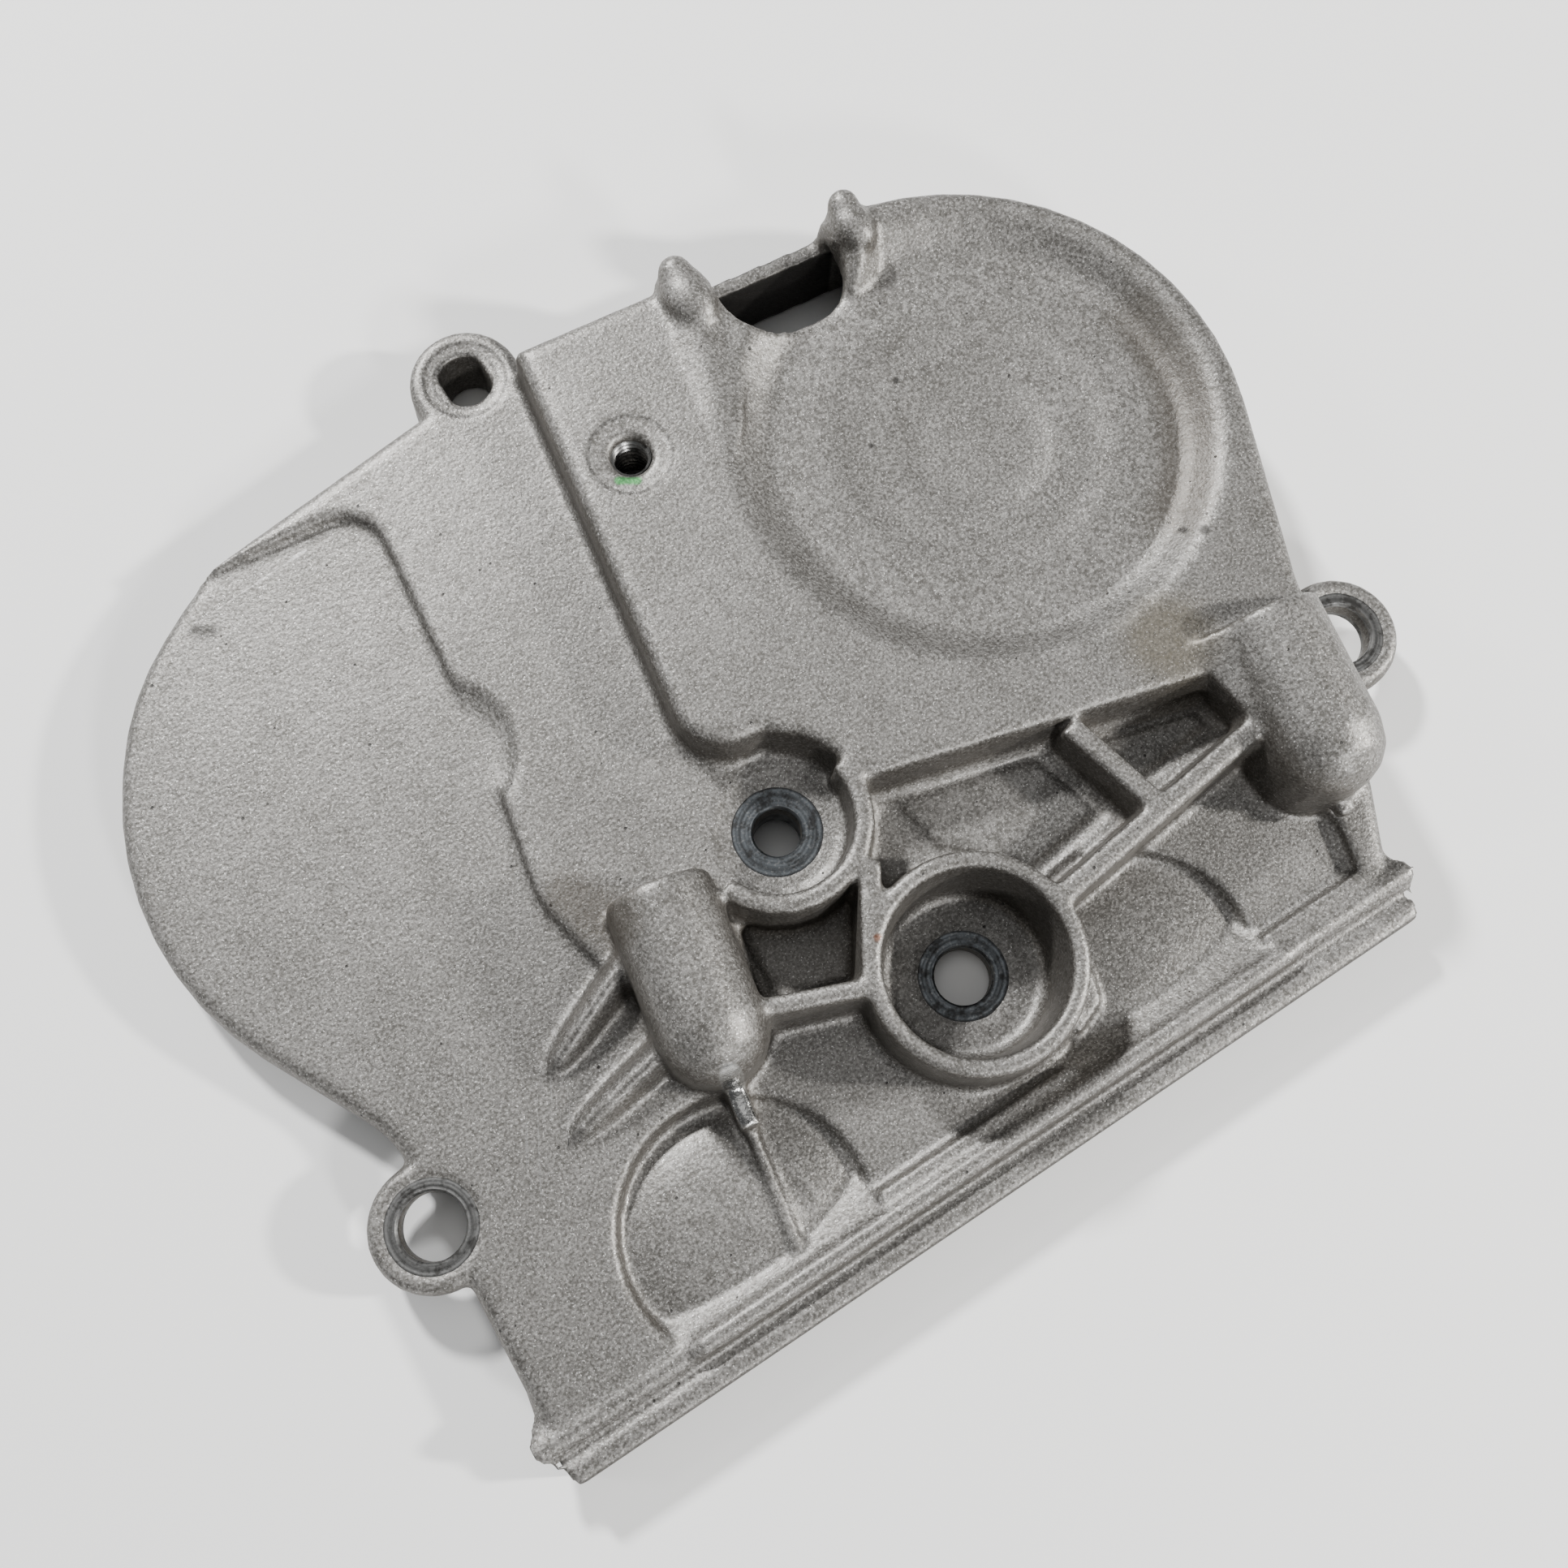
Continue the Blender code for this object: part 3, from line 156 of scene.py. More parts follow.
class Graph:
    """The node tree of one finish, with the few calls that the finishes share."""

    def __init__(self, name: str) -> None:
        """Start a material that holds only its surface shader and its output."""
        self.material = bpy.data.materials.new(name)
        self.material.use_nodes = True
        self.tree = self.material.node_tree
        self.tree.nodes.clear()
        self.surface = self.tree.nodes.new("ShaderNodeBsdfPrincipled")
        output = self.tree.nodes.new("ShaderNodeOutputMaterial")
        self.tree.links.new(self.surface.outputs["BSDF"], output.inputs["Surface"])
        coordinates = self.tree.nodes.new("ShaderNodeTexCoord")
        inputs = {"Vector": Wire(self, coordinates.outputs["Object"])}
        inputs["Location"] = (-ORIGIN_X, -ORIGIN_Y, 0.0)
        inputs["Scale"] = (1.0 / MM,) * 3
        self.point = self.add("ShaderNodeMapping", {}, inputs)
        split = self.node("ShaderNodeSeparateXYZ", {}, {"Vector": self.point})
        self.x, self.y, self.z = (Wire(self, socket) for socket in split.outputs)

    def node(self, kind: str, settings: dict, inputs: dict | list) -> bpy.types.Node:
        """Add any node, set it up and feed it.

        Args:
            kind: The node's type.
            settings: Its properties, set first; the name stops sets a ramp's places and colours.
            inputs: Values or wires by socket name, or in the order of the sockets.

        Returns:
            The new node.
        """
        made = self.tree.nodes.new(kind)
        for key, value in settings.items():
            if key != "stops":
                setattr(made, key, value)
                continue
            ramp = made.color_ramp
            while len(ramp.elements) < len(value):
                ramp.elements.new(0.5)
            for element, (spot, colour) in zip(ramp.elements, value):
                element.position = spot
                element.color = (*colour, 1.0)
        pairs = inputs.items() if isinstance(inputs, dict) else enumerate(inputs)
        for key, value in pairs:
            socket = made.inputs[key]
            if isinstance(value, Wire):
                self.tree.links.new(value.socket, socket)
            elif isinstance(value, (tuple, list)) and socket.type == "RGBA":
                socket.default_value = (*value, 1.0)
            else:
                socket.default_value = value
        return made

    def add(self, kind: str, settings: dict, inputs: dict | list, output: int | str = 0) -> Wire:
        """Add any node and take one of its results.

        Args:
            kind: The node's type.
            settings: Its properties.
            inputs: Values or wires for its sockets.
            output: The name or the number of the result.

        Returns:
            The chosen result.
        """
        return Wire(self, self.node(kind, settings, inputs).outputs[output])

    def blend(self, factor: Wire | float, below: Wire | tuple, above: Wire | tuple, how: str = "MIX") -> Wire:
        """Lay one colour over another.

        Args:
            factor: How much of the upper colour shows.
            below: The colour underneath.
            above: The colour on top.
            how: The Mix node's blend type.

        Returns:
            The mixed colour.
        """
        made = self.tree.nodes.new("ShaderNodeMix")
        made.data_type = "RGBA"
        made.blend_type = how
        made.clamp_factor = True
        for socket, value in ((made.inputs[0], factor), (made.inputs[6], below), (made.inputs[7], above)):
            if isinstance(value, Wire):
                self.tree.links.new(value.socket, socket)
            elif isinstance(value, tuple):
                socket.default_value = (*value, 1.0)
            else:
                socket.default_value = value
        return Wire(self, made.outputs[2])

    def grain(self, scale: float, detail: float = 2.0, rough: float = 0.5, point: Wire | None = None) -> Wire:
        """Noise in the part's millimetres.

        Args:
            scale: Waves in a millimetre.
            detail: Octaves of finer noise.
            rough: How strong the finer noise is.
            point: Another position to read, such as a stretched one.

        Returns:
            A value round a half.
        """
        inputs = {"Vector": point or self.point, "Scale": scale, "Detail": detail, "Roughness": rough}
        return self.add("ShaderNodeTexNoise", {}, inputs)

    def stretched(self, turn: float, along: float, across: float) -> Wire:
        """The position turned about Z and stretched, for marks that all run one way.

        Args:
            turn: Degrees from the rail's direction.
            along: Scale along the marks.
            across: Scale across them.

        Returns:
            The new position.
        """
        inputs = {"Vector": self.point, "Rotation": (0.0, 0.0, math.radians(-turn))}
        inputs["Scale"] = (1.0, 1.0, 1.0)
        turned = self.add("ShaderNodeMapping", {}, inputs)
        inputs = {"Vector": turned, "Scale": (along, across, across)}
        return self.add("ShaderNodeMapping", {}, inputs)

    def spot(self, x: float, y: float, radius: float, soft: float, wobble: Wire | None = None) -> Wire:
        """A round patch on the face.

        Args:
            x: Its middle along the rail.
            y: Its middle up the face.
            radius: Where it has faded to a half.
            soft: How wide its faded edge is.
            wobble: Millimetres that shift its edge.

        Returns:
            One in the patch and nothing outside it.
        """
        far = ((self.x - x).power(2.0) + (self.y - y).power(2.0)).root()
        far = far + wobble if wobble is not None else far
        return far.rise(radius - soft / 2, radius + soft / 2, 1.0, 0.0)

    def stroke(self, start: tuple, end: tuple, radius: float, soft: float, wobble: Wire | None = None) -> Wire:
        """A long patch between two points on the face.

        Args:
            start: One end, along the rail and up the face.
            end: The other end.
            radius: Half its width.
            soft: How wide its faded edge is.
            wobble: Millimetres that shift its edge.

        Returns:
            One in the patch and nothing outside it.
        """
        run = math.hypot(end[0] - start[0], end[1] - start[1])
        way = ((end[0] - start[0]) / run, (end[1] - start[1]) / run)
        middle = ((end[0] + start[0]) / 2, (end[1] + start[1]) / 2)
        along = (self.x - middle[0]) * way[0] + (self.y - middle[1]) * way[1]
        across = (self.y - middle[1]) * way[0] - (self.x - middle[0]) * way[1]
        beyond = (abs(along) - run / 2).most(0.0)
        far = (beyond.power(2.0) + across.power(2.0)).root()
        far = far + wobble if wobble is not None else far
        return far.rise(radius - soft / 2, radius + soft / 2, 1.0, 0.0)

    def attribute(self, name: str) -> Wire:
        """A number that the mesh carries at each point."""
        return self.add("ShaderNodeAttribute", {"attribute_name": name}, {}, "Fac")

    def relief(self, *layers: tuple[Wire, float]) -> None:
        """Give the surface its fine relief.

        Args:
            layers: Heights from 0 to 1, each with its depth in millimetres.
        """
        normal = None
        for height, depth in layers:
            inputs = {"Height": height, "Strength": 1.0, "Distance": depth * MM}
            if normal is not None:
                inputs["Normal"] = normal
            normal = self.add("ShaderNodeBump", {}, inputs)
        self.tree.links.new(normal.socket, self.surface.inputs["Normal"])

    def feed(self, **values: Wire | float | tuple) -> bpy.types.Material:
        """Set the surface shader.

        Args:
            values: Its sockets, with underscores for the spaces in their names.

        Returns:
            The finished material.
        """
        for key, value in values.items():
            socket = self.surface.inputs[key.replace("_", " ")]
            if isinstance(value, Wire):
                self.tree.links.new(value.socket, socket)
            elif isinstance(value, tuple):
                socket.default_value = (*value, 1.0)
            else:
                socket.default_value = value
        return self.material


@dataclass(frozen=True)
class BlastedCasting:
    """The finish of the casting: blasted aluminium with pores, wear on its edges and workshop grime, and painted
    shade, shadows, glints and edge highlights.
    """

    metal: tuple = (0.172, 0.166, 0.156)
    bright: tuple = (0.21, 0.203, 0.192)
    pale: tuple = (0.34, 0.331, 0.316)
    shade: tuple = (0.085, 0.08, 0.072)
    soot_and_shade: tuple = (0.012, 0.011, 0.010)
    mud_and_shade: tuple = (0.055, 0.045, 0.033)
    oil_and_shade: tuple = (0.03, 0.026, 0.022)
    spark: tuple = (0.85, 0.84, 0.82)
    rust: tuple = (0.11, 0.035, 0.012)
    paint: tuple = (0.045, 0.20, 0.06)
    metallic: float = 0.72
    roughness: float = 0.5

    def material(self) -> bpy.types.Material:
        """Build the finish.

        Returns:
            The material for the casting.
        """
        g = Graph("blasted_casting")
        cloud = g.grain(0.045, 3.0, 0.6)
        blotch = g.grain(0.22, 3.0, 0.6)
        fine = g.grain(2.0, 2.0, 0.6)
        coarse = g.grain(0.85, 2.0, 0.55)
        glint = g.grain(3.1, 1.0, 0.5)
        wobble = (blotch - 0.5) * 6.0
        colour = g.blend(cloud.rise(0.35, 0.68), self.metal, self.bright)
        colour = g.blend(blotch.rise(0.42, 0.7) * 0.35, colour, self.shade)
        colour = g.blend(fine.rise(0.47, 0.7) * 0.75, colour, self.pale)
        colour = g.blend(fine.rise(0.52, 0.32) * 0.75, colour, self.shade)
        colour = g.blend(coarse.rise(0.48, 0.28) * 0.5, colour, self.shade)
        # painted glints: near-white specks in the grain stand for highlights on the blasted facets
        colour = g.blend(glint.rise(0.65, 0.75) * 0.6, colour, self.spark)
        face = g.add("ShaderNodeNewGeometry", {}, {}, "Normal")
        lie = Wire(g, g.node("ShaderNodeSeparateXYZ", {}, {"Vector": face}).outputs[2])
        # painted shade: steep walls are darkened towards a muddy brown, broken up by noise
        painted_wall_shade = lie.rise(0.25, 0.8, 1.0, 0.0) * coarse.rise(0.3, 0.6, 0.6, 1.0)
        colour = g.blend(painted_wall_shade * 0.55, colour, self.mud_and_shade)
        closed = g.attribute("closed")
        edge = g.attribute("edge")
        # dirt and painted shade: hollows and corners, where the occlusion value is high, turn muddy brown
        dirt_and_shade = closed.rise(0.36, 0.78) * coarse.rise(0.3, 0.62, 0.5, 1.0)
        colour = g.blend(dirt_and_shade * 0.7, colour, self.mud_and_shade)
        # painted shade: the most shut-in corners turn near black
        colour = g.blend(closed.rise(0.62, 0.95) * blotch.rise(0.4, 0.6, 0.3, 0.8), colour, self.soot_and_shade)
        # wear and painted highlight: convex edges turn pale, partly as rubbed metal and partly as the highlight that
        # edges catch
        wear_and_edge_highlight = edge.rise(0.3, 0.95) * fine.rise(0.38, 0.62)
        colour = g.blend(wear_and_edge_highlight * 0.4, colour, self.pale)
        pores, pit = self.pores(g)
        colour = g.blend(pores, colour, self.soot_and_shade)
        colour, gloss = self.marks(g, colour, wobble, fine)
        for x, y, radius in ((9.9, 136.2, 7.2), (-5.7, 168.6, 7.3), (-5.7, 168.6, 5.6)):
            far = ((g.x - x).power(2.0) + (g.y - y).power(2.0)).root()
            line = abs(far - radius).rise(0.15, 0.5, 1.0, 0.0) * g.z.rise(11.0, 11.6)
            colour = g.blend(line * coarse.rise(0.35, 0.6, 0.2, 0.6), colour, self.soot_and_shade)
        # painted shade: the inner walls of the window, below the sill's top, turn near black
        inside = g.x.rise(36.5, 37.5) * g.x.rise(64.0, 63.0) * g.y.rise(141.5, 142.5) * g.z.rise(15.6, 14.2)
        colour = g.blend(inside * 0.9, colour, self.soot_and_shade)
        # oily stain and painted shade: faces that look down, into the dark inside of the cover, turn dark brown
        underside_oil_and_shade = self.underside(g)
        colour = g.blend(underside_oil_and_shade * 0.85, colour, self.oil_and_shade)
        rough = self.roughness + (fine - 0.5) * 0.25 - wear_and_edge_highlight * 0.16 - underside_oil_and_shade * 0.1 + dirt_and_shade * 0.2 - gloss * 0.25
        g.relief((coarse, 0.10), (fine, 0.06), (1.0 - pit, 0.16))
        metallic = self.metallic - dirt_and_shade * 0.4 - pores * 0.4 + gloss * 0.3
        return g.feed(Base_Color=colour, Roughness=rough, Metallic=metallic)

    def pores(self, g: Graph) -> tuple[Wire, Wire]:
        """Small black pores, scattered with gaps.

        Args:
            g: The graph to add them to.

        Returns:
            The stain of the pores and their depth.
        """
        inputs = {"Vector": g.point, "Scale": 0.42, "Randomness": 1.0}
        cells = g.node("ShaderNodeTexVoronoi", {"feature": "F1"}, inputs)
        chance = g.node("ShaderNodeSeparateColor", {}, {"Color": Wire(g, cells.outputs["Color"])})
        chosen = Wire(g, chance.outputs[0]).rise(0.72, 0.78)
        size = Wire(g, chance.outputs[1]).rise(0.0, 1.0, 0.05, 0.13)
        near = (size - Wire(g, cells.outputs["Distance"])).rise(0.0, 0.05)
        pit = near * chosen
        return pit * 0.85, pit

    def marks(self, g: Graph, colour: Wire, wobble: Wire, fine: Wire) -> tuple[Wire, Wire]:
        """The stains, scratches and paint that the cover has picked up in use, with painted shadows on the dish and
        beside the right boss and painted shade on the rail's outer face.

        Args:
            g: The graph to add them to.
            colour: The colour so far.
            wobble: Noise that frays the edges of the stains.
            fine: Fine noise that breaks them up.

        Returns:
            The new colour, and where the metal is rubbed bright.
        """
        # painted shadow: a dark crescent on the right slope of the dish, where the outer rim's shadow falls
        over, up = g.x - 63.4, g.y - 109.4
        far = (over.power(2.0) + up.power(2.0)).root()
        side = (over * 0.906 - up * 0.423 - far * 0.72).rise(0.0, 6.0)
        ring = far.rise(30.0, 35.0) * far.rise(39.5, 43.5, 1.0, 0.0)
        colour = g.blend(side * ring * 0.6, colour, (0.062, 0.053, 0.043))
        # painted shadow: a yellowish patch to the left of the right boss stands for the boss's shadow
        stain_and_shadow = g.spot(68.5, 60.5, 7.5, 7.0, wobble) * fine.rise(0.25, 0.65, 0.3, 1.0)
        colour = g.blend(stain_and_shadow * 0.5, colour, (0.115, 0.092, 0.048))
        stain_and_shadow = g.stroke((-37.5, 78.5), (-33.5, 69.0), 4.2, 5.0, wobble)
        colour = g.blend(stain_and_shadow * 0.45, colour, (0.07, 0.057, 0.042))
        stain_and_shadow = g.stroke((-68.0, 152.5), (-65.6, 150.8), 0.9, 1.8, wobble * 0.2)
        colour = g.blend(stain_and_shadow * 0.7, colour, self.soot_and_shade)
        colour = g.blend(g.spot(-0.2, 44.8, 0.6, 0.8, wobble * 0.15) * 0.75, colour, self.rust)
        for x, y, radius in ((85.3, 73.1, 0.9), (83.2, 75.4, 0.6), (58.2, 126.2, 0.7), (47.5, 118.0, 0.5)):
            colour = g.blend(g.spot(x, y, radius, 0.8, wobble * 0.12) * 0.8, colour, self.soot_and_shade)
        colour = g.blend(g.stroke((5.8, 133.2), (8.4, 131.6), 0.75, 0.7, wobble * 0.12) * 0.9, colour, self.paint)
        long = g.grain(1.0, 2.0, 0.5, g.stretched(62.0, 0.035, 1.9))
        rubbed = long.rise(0.63, 0.7) * g.stroke((-61.5, 62.0), (-58.0, 38.0), 7.0, 8.0, wobble)
        colour = g.blend(rubbed * 0.7, colour, (0.5, 0.49, 0.475))
        thread = g.stroke((-66.0, 153.6), (-45.0, 155.6), 0.16, 0.2, (g.grain(0.2) - 0.5) * 1.6)
        colour = g.blend(thread * 0.6, colour, (0.42, 0.41, 0.40))
        tab = g.stroke((-31.0, 38.8), (-31.9, 33.2), 1.7, 0.8) * g.z.rise(11.6, 12.2)
        colour = g.blend(tab * 0.7, colour, (0.5, 0.5, 0.49))
        face = g.add("ShaderNodeNewGeometry", {}, {}, "Normal")
        split = g.node("ShaderNodeSeparateXYZ", {}, {"Vector": face})
        # painted shade: the rail's outer face, which looks towards the front, is darkened
        painted_front_shade = Wire(g, split.outputs[1]).rise(-0.4, -0.8) * g.y.rise(3.0, 1.0)
        colour = g.blend(painted_front_shade * 0.55, colour, self.oil_and_shade)
        return colour, (rubbed + tab).least(1.0)

    def underside(self, g: Graph) -> Wire:
        """Where the hidden inner side is darkened: an oily stain and painted shade together.

        Args:
            g: The graph to add it to.

        Returns:
            One on faces that look down into the engine.
        """
        face = g.add("ShaderNodeNewGeometry", {}, {}, "Normal")
        split = g.node("ShaderNodeSeparateXYZ", {}, {"Vector": face})
        return Wire(g, split.outputs[2]).rise(-0.15, -0.6) * g.grain(0.12, 3.0).rise(0.25, 0.6, 0.65, 1.0)


@dataclass(frozen=True)
class TurnedFace:
    """The finish of a machined seat: fine rings round its middle, a little dirty."""

    centre: tuple = (0.0, 0.0)
    metal: tuple = (0.12, 0.122, 0.125)
    roughness: float = 0.38
    ring: float = 1.4
    outer: float = 8.0

    def material(self, name: str) -> bpy.types.Material:
        """Build the finish.

        Args:
            name: The material's name.

        Returns:
            The material for one seat.
        """
        g = Graph(name)
        far = ((g.x - self.centre[0]).power(2.0) + (g.y - self.centre[1]).power(2.0)).root()
        uneven = g.grain(0.5, 2.0)
        rings = (far * (2.0 * math.pi * self.ring) + uneven * 2.5).math("SINE") * 0.5 + 0.5
        grime = g.grain(0.55, 3.0, 0.65)
        fine = g.grain(2.4, 2.0)
        pale = tuple(min(1.0, c * 1.75) for c in self.metal)
        colour = g.blend(rings * 0.6, self.metal, pale)
        colour = g.blend(fine.rise(0.5, 0.8) * 0.5, colour, (0.3, 0.3, 0.295))
        colour = g.blend(grime.rise(0.45, 0.66) * 0.75, colour, (0.02, 0.018, 0.016))
        rim = far.rise(self.outer - 0.75, self.outer - 0.3) + abs(far - self.outer * 0.8).rise(0.1, 0.35, 0.6, 0.0)
        colour = g.blend(rim.least(1.0) * 0.85, colour, (0.015, 0.014, 0.013))
        g.relief((rings, 0.02), (fine, 0.02))
        rough = self.roughness + (grime - 0.5) * 0.4
        return g.feed(Base_Color=colour, Roughness=rough, Metallic=0.85)


@dataclass(frozen=True)
class PalePaper:
    """The finish of the floor: plain, pale and matt."""

    colour: tuple = (0.82, 0.82, 0.812)

    def material(self) -> bpy.types.Material:
        """Build the finish.

        Returns:
            The material for the floor.
        """
        g = Graph("pale_floor")
        tint = g.blend(g.grain(0.02, 2.0), self.colour, tuple(c * 0.985 for c in self.colour))
        return g.feed(Base_Color=tint, Roughness=0.75)


def only(piece: bpy.types.Object) -> None:
    """Make one object the active one and the only one that is selected."""
    if bpy.context.mode != "OBJECT":
        bpy.ops.object.mode_set(mode="OBJECT")
    bpy.ops.object.select_all(action="DESELECT")
    piece.select_set(True)
    bpy.context.view_layer.objects.active = piece


def pick(piece: bpy.types.Object, part: Part, wanted: Callable[[Vector, Vector], bool]) -> None:
    """Select, in edit mode, the elements that pass a test.

    Args:
        piece: The object in edit mode.
        part: Which elements are tested.
        wanted: A test of an element's middle and, for a face, its normal.
    """
    bpy.ops.mesh.select_mode(type=part.value)
    mesh = bmesh.from_edit_mesh(piece.data)
    for element in (*mesh.verts, *mesh.edges, *mesh.faces):
        element.select = False
    if part is Part.FACES:
        for face in mesh.faces:
            face.select_set(wanted(face.calc_center_median(), face.normal))
    elif part is Part.EDGES:
        for line in mesh.edges:
            line.select_set(wanted((line.verts[0].co + line.verts[1].co) / 2, Vector()))
    else:
        for point in mesh.verts:
            point.select_set(wanted(point.co, point.normal))
    bmesh.update_edit_mesh(piece.data)


def settle(piece: bpy.types.Object, name: str) -> bpy.types.Object:
    """Leave edit mode, put the object's place into its mesh and name it.

    Args:
        piece: The object.
        name: Its name in the scene.

    Returns:
        The same object.
    """
    only(piece)
    bpy.ops.object.transform_apply(location=True, rotation=True, scale=True)
    piece.name = name
    piece.data.name = name
    return piece


def apply_all(piece: bpy.types.Object) -> None:
    """Apply every modifier of one object."""
    only(piece)
    for modifier in list(piece.modifiers):
        bpy.ops.object.modifier_apply(modifier=modifier.name)


def dress(piece: bpy.types.Object, material: bpy.types.Material) -> None:
    """Give an object its one material and tie it to the cover's body.

    Args:
        piece: The object.
        material: Its finish.
    """
    piece.data.materials.clear()
    piece.data.materials.append(material)
    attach(piece, "root")


class Solid(Enum):
    """The primitives that the small masses start from."""

    BLOCK = "cube"
    BALL = "ball"
    ROD = "rod"


@dataclass
class CastDetails:
    """Small masses that the metal fills in a real casting, made to be joined to its skin."""

    boss_end: tuple = (84.6, 55.6)
    boss_lean: float = 10.0
    boss_axis_z: float = 20.0

    def build(self) -> list[bpy.types.Object]:
        """Make every mass.

        Returns:
            The masses, each a closed mesh.
        """
        masses = [
            self.mass(Solid.BLOCK, (35.5, 38.4, 8.4), (20.0, 4.6, 6.0), 8.0),
            self.mass(Solid.BLOCK, (4.6, 53.7, 14.0), (5.0, 3.4, 15.8), 58.2),
            self.mass(Solid.BLOCK, (*self.by_boss(-0.65), 16.95), (13.8, 3.3, 9.9), -self.boss_lean),
            self.mass(Solid.ROD, (*self.by_boss(1.9), self.boss_axis_z), (12.8, 12.8, 3.6), -self.boss_lean, 90.0),
            self.mass(Solid.BALL, (34.1, 160.9, 23.3), (6.2, 6.2, 6.2)),
            self.mass(Solid.BALL, (33.9, 156.4, 22.4), (9.0, 14.0, 7.6)),
            self.mass(Solid.BALL, (66.6, 157.0, 22.9), (5.8, 5.8, 5.8)),
            self.mass(Solid.BALL, (66.2, 153.4, 21.8), (7.4, 11.0, 7.2)),
            self.flank(),
        ]
        masses.append(self.swell((-44.5, 20.0, 4.5), (40.0, 36.0, 9.2)))
        return masses

    def by_boss(self, distance: float, aside: float = 0.0) -> tuple[float, float]:
        """Find a point by the right boss.

        Args:
            distance: Millimetres from its flat end down its axis.
            aside: Millimetres to the right of the axis.

        Returns:
            The point along the rail and up the face.
        """
        sine, cosine = math.sin(math.radians(self.boss_lean)), math.cos(math.radians(self.boss_lean))
        x = self.boss_end[0] - sine * distance + cosine * aside
        return x, self.boss_end[1] - cosine * distance - sine * aside

    def mass(self, kind: Solid, centre: tuple, size: tuple, turn: float = 0.0, tip: float = 0.0) -> bpy.types.Object:
        """Make one primitive at its place.

        Args:
            kind: What it starts from.
            centre: Its middle, in the source's millimetres.
            size: Its size before it is turned, in millimetres.
            turn: Degrees about Z.
            tip: Degrees about X, before the turn.

        Returns:
            The new object, with its place put into its mesh.
        """
        bpy.ops.object.select_all(action="DESELECT")
        if kind is Solid.BLOCK:
            bpy.ops.mesh.primitive_cube_add(size=1.0)
        elif kind is Solid.BALL:
            bpy.ops.mesh.primitive_uv_sphere_add(segments=48, ring_count=24, radius=0.5)
        else:
            bpy.ops.mesh.primitive_cylinder_add(vertices=48, radius=0.5, depth=1.0)
        item = bpy.context.object
        item.scale = Vector(size) * MM
        item.rotation_euler = Euler((math.radians(tip), 0.0, math.radians(turn)))
        item.location = place(*centre)
        return settle(item, "cast_mass")

    def flank(self) -> bpy.types.Object:
        """Make the wedge that flares the right boss's left flank out into the face.

        Returns:
            The wedge.
        """
        wedge = self.mass(Solid.BLOCK, (*self.by_boss(7.7, -11.5), 17.8), (7.0, 15.0, 15.2), -self.boss_lean)
        middle = place(*self.by_boss(7.7, -11.5), 17.8)
        across = Vector((math.cos(math.radians(self.boss_lean)), -math.sin(math.radians(self.boss_lean)), 0.0))
        along = Vector((-across.y, across.x, 0.0))
        bpy.ops.object.mode_set(mode="EDIT")
        pick(wedge, Part.POINTS, lambda point, normal: (point - middle).dot(across) < 0 and point.z > middle.z)
        bpy.ops.transform.translate(value=(0.0, 0.0, -3.3 * MM))
        pick(wedge, Part.POINTS, lambda point, normal: (point - middle).dot(across) < 0 and (point - middle).dot(along) < 0)
        bpy.ops.transform.translate(value=across * 4.6 * MM)
        bpy.ops.object.mode_set(mode="OBJECT")
        return wedge

    def swell(self, centre: tuple, size: tuple) -> bpy.types.Object:
        """Make the upper half of a flat ball, for a dome that is off the middle of its recess.

        Args:
            centre: The ball's middle, in the source's millimetres.
            size: The ball's size in millimetres.

        Returns:
            The half ball.
        """
        ball = self.mass(Solid.BALL, centre, size)
        bpy.ops.object.mode_set(mode="EDIT")
        bpy.ops.mesh.select_all(action="SELECT")
        bpy.ops.mesh.bisect(
            plane_co=place(*centre), plane_no=(0.0, 0.0, 1.0), use_fill=True, clear_inner=True)
        bpy.ops.object.mode_set(mode="OBJECT")
        return ball


